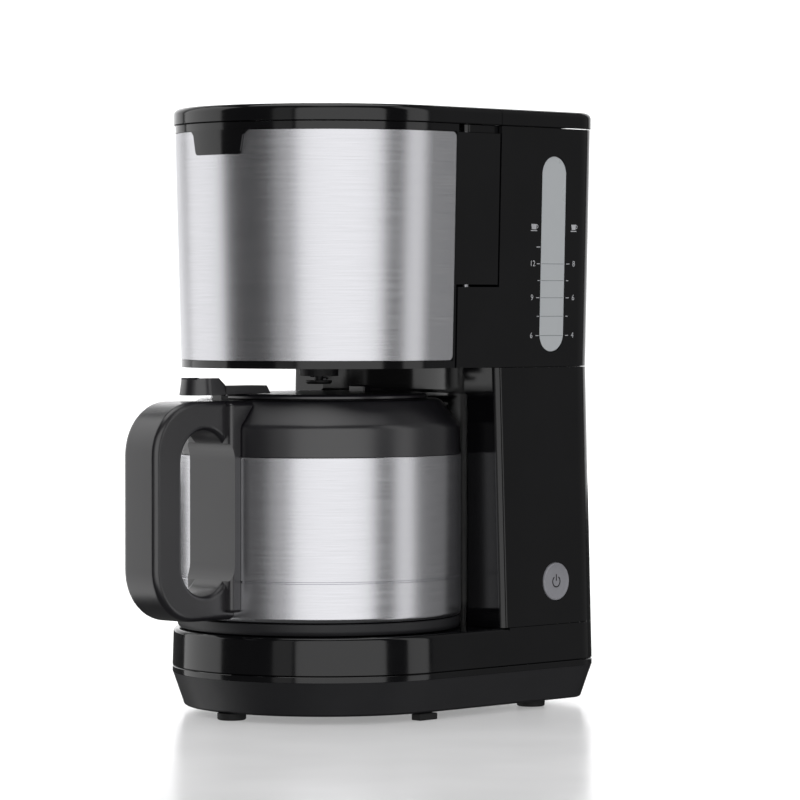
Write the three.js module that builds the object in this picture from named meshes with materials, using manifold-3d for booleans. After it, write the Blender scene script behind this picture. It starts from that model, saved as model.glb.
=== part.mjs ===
// Drip coffee maker with an insulated carafe, built as separate solids in millimetres, +Z up.
// The front is at -Y and the hinge of the swing-out filter holder is at +X. X = Y = 0 is the
// middle of the whole machine in plan, which is also the centre of its round front, and Z = 0 is
// the plane the feet stand on.
import * as THREE from "three";
import { LoftGeometry } from "three/addons/geometries/LoftGeometry.js";
import { mergeVertices } from "three/addons/utils/BufferGeometryUtils.js";
import Module from "manifold-3d";

const wasm = await Module();
wasm.setup();

// ---------------------------------------------------------------- driving dimensions

// Body in plan
const BODY_RADIUS = 86.5; // round front, and half the width at the deck
const BODY_BACK = 142.5; // from the centre of the round front to the back face
const CORNER_RADIUS = 22; // rear corners
const NECK_SETBACK = 5.1; // how much narrower each side is at the underside of the head
const TOP_SETBACK = 1.7; // and at the top of the head

// Body in height
const FOOT_HEIGHT = 4;
const SKIRT_HEIGHT = 19; // tapered part of the base pan
const SKIRT_SETBACK = 6; // how far the skirt tapers in at its foot
const SKIRT_ROUND = 1.5; // bottom edge of the skirt
const PAN_BAND = 3.4; // upright band above the skirt
const DECK_HEIGHT = 21;
const DECK_ROUND = 2.5; // top edge of the deck
const DECK_HOLE_CLEAR = 4; // hole for the hoses behind the bay's wall
const HEADROOM = 14.3; // from the carafe lid to the underside of the head
const HEAD_HEIGHT = 134.9;
const LID_HEIGHT = 9.4;
const LID_ROUND = 3.6; // top edge of the lid
const LID_SETBACK = 0.8; // each side of the lid from the widest part of the body

// Walls and gaps
const WALL = 2.4; // moulded walls
const PAN_FLOOR = 2.6;
const LINER_WALL = 1; // carafe steel
const GAP = 0.3; // between pieces that touch
const SEAM = 0.4; // visible seam round the lid
const RUN = 0.3; // radial clearance round pins
const SWING_GAP = 1.4; // between the filter holder's ends and the housing

// Tank
const TANK_CLEAR = 2.6; // from the basket's rim to the tank's front wall
const TANK_FLOOR_RISE = 10; // floor of the tank above the underside of the head
const WINDOW_WIDTH = 20.4;
const WINDOW_IN = 43; // middle of the window from the back face
const WINDOW_LOW = 8.5; // above the underside of the head
const WINDOW_HIGH = 15.9; // below the top of the head
const WINDOW_FLANGE = 2.5; // lip behind the wall
const OUTLET_SIDE = 46.5; // outlet from the right side
const OUTLET_BEHIND = 15.1; // and behind the front of the deck's hole
const HOSE_RADIUS = 4;
const HOSE_BORE = 2.8;

// Lid of the tank
const LID_SPLIT_BEHIND = 0.2; // fixed front cover past the end of the holder's leaf
const LID_AXIS_IN = 3; // hinge axis in front of the back face
const LID_AXIS_UP = 3.6; // hinge axis above the top of the head
const LID_LUG_SIDE = 48.5; // middle of each hinge lug from its side
const LID_LUG_WIDTH = 6;
const LID_LUG_RADIUS = 3;
const LID_PIN_RADIUS = 1.4;
const LID_BOSS_WIDTH = 4;

// Filter holder
const HINGE_IN = 8.1; // hinge axis from the right side
const HINGE_BEHIND = 11.9; // and behind the end of the round front
const KNUCKLE_RADIUS = 3.4;
const KNUCKLE_HEIGHT = 9;
const PIN_RADIUS = 1.7;
const HOLDER_END = 19.6; // where the round front of the holder ends
const LEAF_SHORT = 4.8; // right-hand leaf ends this far ahead of the tank's front wall
const LEAF_LOW = 46.3; // underside of the leaf above the underside of the head
const TRIM_HEIGHT = 4; // bottom and top trims of the holder
const PANEL_THICKNESS = 0.9;
const PANEL_BORDER = 1.4; // black edge at each end of the steel panel
const HOLDER_WALL = 2.2;
const BADGE_HEIGHT = 13.4;
const BADGE_HALF_ANGLE = 12.3; // degrees, at its lower edge
const BADGE_FLARE = 2; // degrees wider at its upper edge
const BADGE_THICKNESS = 1.1;

// Filter basket and drip valve
const BASKET_IN = 28.5; // from the round front of the body
const BASKET_BOTTOM_RADIUS = 34;
const BASKET_WALL = 2;
const BASKET_FLANGE = 3; // width of its rim
const BASKET_TOP_DROP = 7; // rim below the top of the holder
const BASKET_FLOOR_RISE = 10; // above the underside of the head
const NOZZLE_RADIUS = 11;
const NOZZLE_DROP = 5; // below the underside of the head
const VALVE_STEM = 2.5;
const VALVE_SEAL = 8;
const VALVE_FOOT = 7.5;
const VALVE_DROP = 9.5; // foot of the valve below the underside of the head
const VALVE_FOOT_HEIGHT = 2;
const SPRING_RADIUS = 5;
const SPRING_WIRE = 0.5;
const SPRING_TURNS = 5;
const SPRING_SIDES = 5;
const SPRING_TURN_STEPS = 10;

// Power button
const BUTTON_RADIUS = 10.75;
const BUTTON_IN = 43; // from the back face
const BUTTON_Z = 24.3; // above the deck
const BUTTON_PROUD = 0.8;
const BUTTON_GAP = 0.35;
const BUTTON_FLANGE = 1.8;

// Column
const COLUMN_FRONT_TOP = 54; // front edge of the wings under the head
const COLUMN_FRONT_LOW = 54.5; // front edge of the wings at the deck
const WING_EDGE = 4; // rounded front edge of the wings
const BAY_GAP = 3.9; // between the carafe and the wall behind it
const NECK_BAND = 14; // proud band at the top of the bay
const NECK_BAND_STEP = 2;

// Carafe
const CARAFE_Y = -5.5;
const CARAFE_SETBACK = 6.4; // carafe wall from the edge of the deck
const CARAFE_BASE = 6.7; // plastic base
const CARAFE_BASE_STEP = 0.5;
const CARAFE_STEEL = 90.5;
const VACUUM_GAP = 3.6;
const COLLAR_STEP = 0.7;
const COLLAR_UPRIGHT = 14.5; // upright part of the collar
const COLLAR_SLOPE = 16.3; // sloping part
const COLLAR_TOP_IN = 13; // collar's top edge in from its side
const NECK_IN = 33.4; // liner's neck from the side of the collar
const NECK_CLEAR = 2;
const CARAFE_LID_IN = 5.4; // lid from the top edge of the collar
const CARAFE_LID_HEIGHT = 2.8;
const PLUG_DEPTH = 16;
const PLUG_GAP = 1;
const PLUG_WALL = 2.5;
const CATCH_HALF = 6; // catch on the lid
const CATCH_DEPTH = 6;
const CATCH_IN = 25; // its back from the edge of the lid
const CATCH_HEIGHT = 3.6;
const SPOUT_HALF = 13;
const SPOUT_REACH = 11;
const SPOUT_HEIGHT = 9;

// Handle and lever
const HANDLE_REACH = 56; // front of the handle ahead of the round front
const HANDLE_WIDTH = 26.5;
const HANDLE_ROOT_WIDTH = 36;
const HANDLE_LOW = 8.6; // above the carafe's underside
const HANDLE_DROP = 0.2; // top of the handle below the top of the collar
const HANDLE_CORNER = 29;
const GRIP = 20; // thickness of the grip
const FINGER_LOW_IN = 13.8; // finger opening from the underside of the handle
const FINGER_TOP_IN = 15.7; // and from its top
const FINGER_DEPTH = 34.5;
const ROOT_DEPTH = 5;
const LEVER_LENGTH = 59;
const LEVER_PAD = 17;
const LEVER_PAD_HEIGHT = 9.5;
const LEVER_LIFT = 0.5; // its back end above its front end
const LEVER_ARM_HEIGHT = 5;
const LEVER_WIDTH = 22;
const LEVER_ARM_WIDTH = 14;
const LEVER_DRAFT = 1.5; // pad drawn in at its top
const LEVER_ARC = 12;
const LEVER_FRONT = 33.5; // behind the front of the handle
const LEVER_PIVOT = 27; // behind the lever's front
const LEVER_PIVOT_UP = 4.2; // above the handle
const LEVER_PIN = 1.4;
const LUG_WIDTH = 7; // lug on the handle, inside the lever
const LUG_RADIUS = 2.6;
const PIN_SHORT = 2; // each end of the pin from the side of the lever

// Feet and screws
const FOOT_RADIUS = 8;
const FRONT_FOOT_IN = 13; // middle of the front foot from the round front
const REAR_FOOT_SIDE = 20.5; // middle of each rear foot from its side
const REAR_FOOT_IN = 43; // and from the back face
const SIDE_FOOT_LENGTH = 14;
const SIDE_FOOT_WIDTH = 7;
const SCREW_IN = 28.5; // from each side
const SCREW_FRONT_Y = -12;
const SCREW_BACK_IN = 24.5; // from the back face
const SCREW_RADIUS = 1.9;
const SCREW_HEAD = 3.7;
const SCREW_HEAD_HEIGHT = 2.4;
const SCREW_LENGTH = 17;
const BOSS_RADIUS = 6;
const BOSS_HEIGHT = 4;

// Heater and plumbing in the base
const HEATER_RADIUS = 6;
const HEATER_BORE = 3.6;
const HEATER_HALF = 30; // half the distance between its legs
const HEATER_FRONT = -25;
const HEATER_BEHIND = 11.1; // ends of its legs behind the front of the deck's hole
const HEATER_UP = 16; // axis above the pan floor
const ELEMENT_RADIUS = 3.6;
const RISER_SIDE = 38.5; // from the left side
const RISER_AHEAD = 13.6; // ahead of the tank's front wall
const RISER_RADIUS = 3;
const RISER_BORE = 2;
const SHOWER_IN = 22; // edge of the shower head from the top of the basket
const SHOWER_THICKNESS = 1.6;
const SHOWER_HOLE = 2;
const SHOWER_HOLES = 6;
const SHOWER_RING_IN = 12; // ring of holes from the edge
const GLAND_SIDE = 41.5; // from the left side
const GLAND_RADIUS = 6;

// Facets
const ARC = 14; // steps per quarter of the round front
const CORNER_STEPS = 4;
const TURN = 36; // steps round turned pieces
const SMALL_TURN = 12; // steps round pins, feet and screws
const TUBE_SIDES = 8;
const RISER_STEPS = 34;
const HOSE_STEPS = 12;
const HEATER_STEPS = 24;

// ---------------------------------------------------------------- derived levels and sizes

const PAN_TOP = FOOT_HEIGHT + SKIRT_HEIGHT + PAN_BAND;
const DECK_LOW = PAN_TOP + GAP;
const DECK_TOP = DECK_LOW + DECK_HEIGHT;
const CARAFE_RADIUS = BODY_RADIUS - CARAFE_SETBACK;
const CARAFE_LOW = DECK_TOP + GAP;
const STEEL_LOW = CARAFE_LOW + CARAFE_BASE + GAP;
const STEEL_HIGH = STEEL_LOW + CARAFE_STEEL;
const COLLAR_LOW = STEEL_HIGH + GAP;
const COLLAR_HIGH = COLLAR_LOW + COLLAR_UPRIGHT + COLLAR_SLOPE;
const COLLAR_RADIUS = CARAFE_RADIUS - COLLAR_STEP;
const NECK_RADIUS = COLLAR_RADIUS - NECK_IN;
const CARAFE_LID_RADIUS = COLLAR_RADIUS - COLLAR_TOP_IN - CARAFE_LID_IN;
const CARAFE_LID_LOW = COLLAR_HIGH + GAP;
const CARAFE_LID_TOP = CARAFE_LID_LOW + CARAFE_LID_HEIGHT;
const HEAD_LOW = CARAFE_LID_TOP + HEADROOM;
const HEAD_TOP = HEAD_LOW + HEAD_HEIGHT;
const LID_LOW = HEAD_TOP + SEAM;
const LID_TOP = LID_LOW + LID_HEIGHT;
const COLUMN_LOW = DECK_TOP + GAP;
const COLUMN_TOP = HEAD_LOW - GAP;
const PANEL_LOW = HEAD_LOW + TRIM_HEIGHT + GAP;
const PANEL_HIGH = HEAD_TOP - TRIM_HEIGHT - GAP;
const TANK_FLOOR = HEAD_LOW + TANK_FLOOR_RISE;
const LINER_RADIUS = CARAFE_RADIUS - LINER_WALL - VACUUM_GAP;
const HANDLE_FRONT = -BODY_RADIUS - HANDLE_REACH;
const HANDLE_HIGH = COLLAR_HIGH - HANDLE_DROP;
const FINGER_LOW = CARAFE_LOW + HANDLE_LOW + FINGER_LOW_IN;
const FINGER_TOP = HANDLE_HIGH - FINGER_TOP_IN;
const LEVER_LOW = CARAFE_LID_TOP + GAP - LEVER_LIFT; // the lever clears the carafe lid
const LEAF_BOTTOM = HEAD_LOW + LEAF_LOW;
const SIDE_PANEL_TOP = LEAF_BOTTOM - SWING_GAP;
const BASKET_TOP = HEAD_TOP - BASKET_TOP_DROP;
const BASKET_FLOOR = HEAD_LOW + BASKET_FLOOR_RISE;
const BASKET_TOP_RADIUS = BODY_RADIUS - BASKET_IN;
const TANK_FRONT = CARAFE_Y + BASKET_TOP_RADIUS + BASKET_FLANGE + TANK_CLEAR + WALL; // inner face
const LEAF_END = TANK_FRONT - WALL - LEAF_SHORT;
const LID_SPLIT = LEAF_END + LID_SPLIT_BEHIND;
const HINGE_X = BODY_RADIUS - HINGE_IN;
const HINGE_Y = HOLDER_END + HINGE_BEHIND;
const LID_LUG_X = BODY_RADIUS - LID_LUG_SIDE;
const WINDOW_Y = BODY_BACK - WINDOW_IN;
const BUTTON_Y = BODY_BACK - BUTTON_IN;
const OUTLET_X = BODY_RADIUS - OUTLET_SIDE;
const DECK_HOLE_FRONT = CARAFE_Y + CARAFE_RADIUS + BAY_GAP + WALL + DECK_HOLE_CLEAR;
const OUTLET_Y = DECK_HOLE_FRONT + OUTLET_BEHIND;
const REAR_FOOT_X = BODY_RADIUS - REAR_FOOT_SIDE;
const REAR_FOOT_Y = BODY_BACK - REAR_FOOT_IN;
const SCREW_BACK_Y = BODY_BACK - SCREW_BACK_IN;
const HEATER_BACK = DECK_HOLE_FRONT + HEATER_BEHIND;
const RISER_X = RISER_SIDE - BODY_RADIUS;
const RISER_Y = TANK_FRONT - WALL - RISER_AHEAD;
const SHOWER_RADIUS = BASKET_TOP_RADIUS - SHOWER_IN;
const SHOWER_RING = SHOWER_RADIUS - SHOWER_RING_IN;
const GLAND_X = GLAND_SIDE - BODY_RADIUS;

// How far each side stands in from the deck's edge at height z.
function setback(z) {
  if (z <= HEAD_LOW) return (NECK_SETBACK * (z - DECK_LOW)) / (HEAD_LOW - DECK_LOW);
  return NECK_SETBACK + ((TOP_SETBACK - NECK_SETBACK) * (z - HEAD_LOW)) / HEAD_HEIGHT;
}

// ---------------------------------------------------------------- solids

// A three.js geometry as a closed solid with its faces pointing out.
function solid(geometry) {
  const bare = new THREE.BufferGeometry();
  bare.setAttribute("position", geometry.getAttribute("position"));
  if (geometry.index) bare.setIndex(geometry.index);
  const merged = mergeVertices(bare, 1e-4);
  const corners = merged.index.array;
  const kept = [];
  for (let i = 0; i < corners.length; i += 3) {
    const [a, b, c] = [corners[i], corners[i + 1], corners[i + 2]];
    if (a !== b && b !== c && c !== a) kept.push(a, b, c);
  }
  const build = (triangles) =>
    new wasm.Manifold(
      new wasm.Mesh({
        numProp: 3,
        vertProperties: new Float32Array(merged.attributes.position.array),
        triVerts: new Uint32Array(triangles),
      }),
    );
  const made = build(kept);
  if (made.volume() > 0) return made;
  return build(kept.toReversed());
}

function geometryOf(made) {
  const mesh = made.getMesh();
  const geometry = new THREE.BufferGeometry();
  const positions = new Float32Array(mesh.numVert * 3);
  for (let i = 0; i < mesh.numVert; i++)
    for (let k = 0; k < 3; k++) positions[3 * i + k] = mesh.vertProperties[i * mesh.numProp + k];
  geometry.setAttribute("position", new THREE.BufferAttribute(positions, 3));
  geometry.setIndex(new THREE.BufferAttribute(new Uint32Array(mesh.triVerts), 1));
  geometry.computeVertexNormals();
  return geometry;
}

const join = (...pieces) => pieces.reduce((all, piece) => all.add(piece));
const cut = (piece, ...tools) => tools.reduce((rest, tool) => rest.subtract(tool), piece);

// Block between two opposite corners.
function block([x0, y0, z0], [x1, y1, z1]) {
  const geometry = new THREE.BoxGeometry(x1 - x0, y1 - y0, z1 - z0);
  geometry.translate((x0 + x1) / 2, (y0 + y1) / 2, (z0 + z1) / 2);
  return solid(geometry);
}

// Upright cylinder.
function post(x, y, z0, z1, radius, steps = SMALL_TURN) {
  const geometry = new THREE.CylinderGeometry(radius, radius, z1 - z0, steps);
  geometry.rotateX(Math.PI / 2);
  geometry.translate(x, y, (z0 + z1) / 2);
  return solid(geometry);
}

// Cylinder along X.
function rod(x0, x1, y, z, radius, steps = SMALL_TURN) {
  const geometry = new THREE.CylinderGeometry(radius, radius, x1 - x0, steps);
  geometry.rotateZ(Math.PI / 2);
  geometry.translate((x0 + x1) / 2, y, z);
  return solid(geometry);
}

// Turned piece about an upright axis, from a profile of [radius, z].
function turned(profile, steps = TURN) {
  const points = profile.map(([r, z]) => new THREE.Vector2(r, z));
  points.push(points[0].clone());
  const geometry = new THREE.LatheGeometry(points, steps);
  geometry.rotateX(Math.PI / 2);
  return solid(geometry);
}

// Flat shape in the Y-Z plane given as [y, z] corners, extruded along X.
function sideShape(corners, x0, x1) {
  const shape = new THREE.Shape(corners.map(([y, z]) => new THREE.Vector2(y, z)));
  const geometry = new THREE.ExtrudeGeometry(shape, { depth: x1 - x0, bevelEnabled: false });
  geometry.rotateX(Math.PI / 2);
  geometry.rotateZ(Math.PI / 2);
  geometry.translate(x0, 0, 0);
  return solid(geometry);
}

// Rounded rectangle from [low, high] corners with one radius, as [u, v] points.
function roundedRectangle([u0, v0], [u1, v1], radius, steps = CORNER_STEPS) {
  const points = [];
  const centres = [
    [u1 - radius, v1 - radius, 0],
    [u0 + radius, v1 - radius, 1],
    [u0 + radius, v0 + radius, 2],
    [u1 - radius, v0 + radius, 3],
  ];
  for (const [u, v, quarter] of centres)
    for (let i = 0; i <= steps; i++) {
      const angle = (Math.PI / 2) * (quarter + i / steps);
      const point = [u + radius * Math.cos(angle), v + radius * Math.sin(angle)];
      const last = points[points.length - 1];
      if (!last || Math.hypot(point[0] - last[0], point[1] - last[1]) > 1e-6) points.push(point);
    }
  const [first, last] = [points[0], points[points.length - 1]];
  if (Math.hypot(first[0] - last[0], first[1] - last[1]) < 1e-6) points.pop();
  return points;
}

// Plan outline at height z, anticlockwise from above, with its own front and rear corner radii.
function outline({ half, front, back, frontCorner, backCorner, frontSteps }, z) {
  const points = [];
  const corners = [
    [-half + frontCorner, front + frontCorner, frontCorner, 2, frontSteps],
    [half - frontCorner, front + frontCorner, frontCorner, 3, frontSteps],
    [half - backCorner, back - backCorner, backCorner, 0, CORNER_STEPS],
    [-half + backCorner, back - backCorner, backCorner, 1, CORNER_STEPS],
  ];
  for (const [x, y, radius, quarter, steps] of corners)
    for (let i = 0; i <= steps; i++) {
      const angle = (Math.PI / 2) * (quarter + i / steps);
      const point = new THREE.Vector3(x + radius * Math.cos(angle), y + radius * Math.sin(angle), z);
      if (!points.length || point.distanceTo(points[points.length - 1]) > 1e-6) points.push(point);
    }
  return points;
}

// Full plan with the round front, drawn in by side and rear.
const fullPlan = (side, rear, z) =>
  outline(
    {
      half: BODY_RADIUS - side,
      front: -(BODY_RADIUS - side),
      back: BODY_BACK - rear,
      frontCorner: BODY_RADIUS - side,
      backCorner: Math.max(CORNER_RADIUS - rear, 1),
      frontSteps: ARC,
    },
    z,
  );

// Rear part of the plan, from a straight front edge back.
const rearPlan = (side, front, rear, z, frontCorner = 1) =>
  outline(
    {
      half: BODY_RADIUS - side,
      front,
      back: BODY_BACK - rear,
      frontCorner,
      backCorner: Math.max(CORNER_RADIUS - rear, 1),
      frontSteps: 3,
    },
    z,
  );

const loft = (rings) => solid(new LoftGeometry(rings, { capStart: true, capEnd: true }));

const FAR = 400; // past every face, for cutting blocks

const slab = (z0, z1) => block([-FAR, -FAR, z0], [FAR, FAR, z1]);
const ahead = (y) => block([-FAR, -FAR, -FAR], [FAR, y, FAR]);
const behind = (y) => block([-FAR, y, -FAR], [FAR, FAR, FAR]);

// Head outline as a solid from z0 to z1, drawn in by inset all round.
function headSolid(z0, z1, inset) {
  return loft([
    fullPlan(setback(z0) + inset, inset, z0),
    fullPlan(setback(z1) + inset, inset, z1),
  ]);
}

// Points round a circle, for the section of a tube or a wire.
function ringPoints(radius, sides) {
  const points = [];
  for (let i = 0; i < sides; i++) {
    const angle = (i / sides) * 2 * Math.PI;
    points.push(new THREE.Vector2(radius * Math.cos(angle), radius * Math.sin(angle)));
  }
  return points;
}

// Section swept along a path, hollow where it has a bore.
function swept(extrudePath, radius, bore, steps, sides = TUBE_SIDES) {
  const section = new THREE.Shape(ringPoints(radius, sides));
  if (bore) section.holes.push(new THREE.Path(ringPoints(bore, sides).reverse()));
  return solid(new THREE.ExtrudeGeometry(section, { steps, extrudePath, bevelEnabled: false }));
}

// Tube along points, with rounded bends.
function tube(points, radius, bore, steps) {
  const path = new THREE.CurvePath();
  const bends = points.map(([x, y, z]) => new THREE.Vector3(x, y, z));
  const bend = radius * 2.2;
  let from = bends[0];
  for (let i = 1; i < bends.length - 1; i++) {
    const enter = bends[i].clone().add(bends[i - 1].clone().sub(bends[i]).setLength(bend));
    const leave = bends[i].clone().add(bends[i + 1].clone().sub(bends[i]).setLength(bend));
    path.add(new THREE.LineCurve3(from, enter));
    path.add(new THREE.QuadraticBezierCurve3(enter, bends[i], leave));
    from = leave;
  }
  path.add(new THREE.LineCurve3(from, bends[bends.length - 1]));
  return swept(path, radius, bore, steps);
}

// ---------------------------------------------------------------- finishes

const finish = (color, roughness, metalness, more = {}) => ({ color, roughness, metalness, ...more });
const GLOSS = finish(0x1e1d22, 0.15, 0);
const MATTE = finish(0x2a2a2e, 0.6, 0);
const CHARCOAL = finish(0x3c3b42, 0.5, 0);
const STEEL = finish(0xb9b9bd, 0.3, 1);
const SILVER = finish(0x9a9aa0, 0.4, 0);
const CLEAR = finish(0xcdd2d5, 0.1, 0, { transparent: true, opacity: 0.5 });
const RUBBER = finish(0x1a1a1a, 0.8, 0);
const WHITE = finish(0xd8d8d4, 0.6, 0);
const BOARD = finish(0x2f5a3a, 0.6, 0);
const ALUMINIUM = finish(0xaeb0b3, 0.45, 1);
const SILICONE = finish(0xd9d6cc, 0.7, 0);

// ---------------------------------------------------------------- scene graph

const machine = new THREE.Group();
// The handle's front and the back face are the same distance from the origin, at any size.
machine.position.y = -(BODY_BACK + HANDLE_FRONT) / 2;
const chassis = new THREE.Group();
const tankLid = new THREE.Group();
const filterHolder = new THREE.Group();
const carafe = new THREE.Group();
carafe.position.y = CARAFE_Y;
machine.add(chassis, tankLid, filterHolder, carafe);

function node(name, group, made, material) {
  const mesh = new THREE.Mesh(geometryOf(made), new THREE.MeshStandardMaterial(material));
  mesh.name = name;
  group.add(mesh);
  return mesh;
}

// ---------------------------------------------------------------- base

const screwX = BODY_RADIUS - SCREW_IN;
const screwPlaces = [
  [-screwX, SCREW_FRONT_Y],
  [screwX, SCREW_FRONT_Y],
  [-screwX, SCREW_BACK_Y],
  [screwX, SCREW_BACK_Y],
];
const panFloor = FOOT_HEIGHT + PAN_FLOOR;
const bossTop = panFloor + BOSS_HEIGHT;
const screwHeadTop = FOOT_HEIGHT + GAP + SCREW_HEAD_HEIGHT;
const glandZ = FOOT_HEIGHT + SKIRT_HEIGHT / 2 + PAN_FLOOR;

function basePan() {
  const foot = SKIRT_SETBACK;
  const skirtTop = FOOT_HEIGHT + SKIRT_HEIGHT;
  let pan = loft([
    fullPlan(foot + SKIRT_ROUND, foot + SKIRT_ROUND, FOOT_HEIGHT),
    fullPlan(foot, foot, FOOT_HEIGHT + SKIRT_ROUND),
    fullPlan(0, 0, skirtTop),
    fullPlan(0, 0, PAN_TOP),
  ]);
  pan = cut(
    pan,
    loft([
      fullPlan(foot + WALL, foot + WALL, panFloor),
      fullPlan(WALL, WALL, skirtTop),
      fullPlan(WALL, WALL, PAN_TOP + 1),
    ]),
  );
  for (const [x, y] of screwPlaces) {
    pan = join(pan, post(x, y, panFloor - 1, bossTop, BOSS_RADIUS));
    pan = cut(
      pan,
      post(x, y, FOOT_HEIGHT - 1, screwHeadTop + GAP, SCREW_HEAD + GAP),
      post(x, y, FOOT_HEIGHT, bossTop + 1, SCREW_RADIUS + GAP),
    );
  }
  return cut(pan, glandBore(GLAND_RADIUS + GAP));
}

// Cylinder along Y through the rear wall of the pan.
function glandBore(radius, y0 = BODY_BACK - 20, y1 = BODY_BACK + 10) {
  const geometry = new THREE.CylinderGeometry(radius, radius, y1 - y0, SMALL_TURN);
  geometry.translate(GLAND_X, (y0 + y1) / 2, glandZ);
  return solid(geometry);
}

// The deck keeps the side's own line where the column stands on it.
const deckHoleBack = BODY_BACK - CORNER_RADIUS / 2;

function frontDeck() {
  const round = DECK_ROUND;
  const rounded = loft([
    fullPlan(0, 0, DECK_LOW),
    fullPlan(setback(DECK_TOP - round), 0, DECK_TOP - round),
    fullPlan(setback(DECK_TOP) + 0.3 * round, 0.3 * round, DECK_TOP - 0.3 * round),
    fullPlan(setback(DECK_TOP) + round, round, DECK_TOP),
  ]);
  const square = loft([
    rearPlan(0, COLUMN_FRONT_LOW, 0, DECK_LOW),
    rearPlan(setback(DECK_TOP), COLUMN_FRONT_LOW, 0, DECK_TOP),
  ]);
  let deck = cut(
    join(rounded, square),
    loft([
      fullPlan(WALL, WALL, DECK_LOW - 1),
      fullPlan(WALL + setback(DECK_TOP), WALL, DECK_TOP - WALL),
    ]),
    block(
      [-(BODY_RADIUS - SCREW_IN), DECK_HOLE_FRONT, DECK_LOW],
      [BODY_RADIUS - SCREW_IN, deckHoleBack, DECK_TOP + 1],
    ),
  );
  for (const [x, y] of screwPlaces) {
    deck = join(deck, post(x, y, bossTop + GAP, DECK_TOP - 1, BOSS_RADIUS - 1));
    deck = cut(deck, post(x, y, bossTop, screwHeadTop + SCREW_LENGTH + 2 * GAP, SCREW_RADIUS + GAP));
  }
  return deck;
}

node("base_pan", chassis, basePan(), MATTE);
node("front_deck", chassis, frontDeck(), GLOSS);

screwPlaces.forEach(([x, y], index) => {
  const head = post(x, y, FOOT_HEIGHT + GAP, screwHeadTop, SCREW_HEAD);
  const slot = block(
    [x - SCREW_HEAD - 1, y - 0.5, FOOT_HEIGHT],
    [x + SCREW_HEAD + 1, y + 0.5, FOOT_HEIGHT + 1],
  );
  const shank = post(x, y, screwHeadTop - 0.5, screwHeadTop + SCREW_LENGTH, SCREW_RADIUS);
  node(`base_screw_${index + 1}`, chassis, join(cut(head, slot), shank), STEEL);
});

// Feet: three round ones and two side blocks, each pressed against the pan's floor.
const footTop = FOOT_HEIGHT - GAP;
const roundFoot = (x, y) =>
  turned([
    [0, 0],
    [FOOT_RADIUS - 0.6, 0],
    [FOOT_RADIUS, 0.8],
    [FOOT_RADIUS, footTop],
    [0, footTop],
  ], 20).translate([x, y, 0]);
node("foot_front", chassis, roundFoot(0, -BODY_RADIUS + FRONT_FOOT_IN), RUBBER);
for (const [side, name] of [[-1, "left"], [1, "right"]]) {
  node(`foot_rear_${name}`, chassis, roundFoot(side * REAR_FOOT_X, REAR_FOOT_Y), RUBBER);
  const outer = BODY_RADIUS - SKIRT_SETBACK;
  const x0 = side > 0 ? outer - SIDE_FOOT_WIDTH : -outer;
  node(
    `foot_side_${name}`,
    chassis,
    block([x0, -SIDE_FOOT_LENGTH / 2, 0], [x0 + SIDE_FOOT_WIDTH, SIDE_FOOT_LENGTH / 2, footTop]),
    RUBBER,
  );
}

// Gland where the mains lead comes in, kept within the back face.
node(
  "cord_gland",
  chassis,
  cut(
    join(
      glandBore(GLAND_RADIUS, BODY_BACK - 14, BODY_BACK - 0.4),
      glandBore(GLAND_RADIUS + 2, BODY_BACK - 14, BODY_BACK - 10),
    ),
    glandBore(GLAND_RADIUS / 2),
  ),
  RUBBER,
);

// ---------------------------------------------------------------- heater and plumbing

const heaterZ = panFloor + HEATER_UP;

// U in plan, open to the back.
function uTube(z, radius, bore, half, front, back) {
  const path = new THREE.CurvePath();
  const bendY = front + half;
  path.add(
    new THREE.LineCurve3(new THREE.Vector3(-half, back, z), new THREE.Vector3(-half, bendY, z)),
  );
  const points = [];
  for (let i = 0; i <= 10; i++) {
    const angle = Math.PI + (Math.PI * i) / 10;
    points.push(new THREE.Vector3(half * Math.cos(angle), bendY + half * Math.sin(angle), z));
  }
  for (let i = 0; i < 10; i++) path.add(new THREE.LineCurve3(points[i], points[i + 1]));
  path.add(new THREE.LineCurve3(new THREE.Vector3(half, bendY, z), new THREE.Vector3(half, back, z)));
  return swept(path, radius, bore, HEATER_STEPS);
}

node(
  "flow_heater",
  chassis,
  uTube(heaterZ, HEATER_RADIUS, HEATER_BORE, HEATER_HALF, HEATER_FRONT, HEATER_BACK),
  ALUMINIUM,
);
const elementZ = heaterZ - HEATER_RADIUS - GAP - ELEMENT_RADIUS;
node(
  "heating_element",
  chassis,
  uTube(elementZ, ELEMENT_RADIUS, 0, HEATER_HALF, HEATER_FRONT, HEATER_BACK - 12),
  STEEL,
);
node(
  "thermostat",
  chassis,
  post(0, HEATER_FRONT, heaterZ + HEATER_RADIUS + GAP, heaterZ + HEATER_RADIUS + 6, 8),
  WHITE,
);
node(
  "thermal_fuse",
  chassis,
  block(
    [-HEATER_HALF + HEATER_RADIUS + GAP, 20, heaterZ - 3],
    [-HEATER_HALF + HEATER_RADIUS + 6, 44, heaterZ + 3],
  ),
  WHITE,
);

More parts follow.
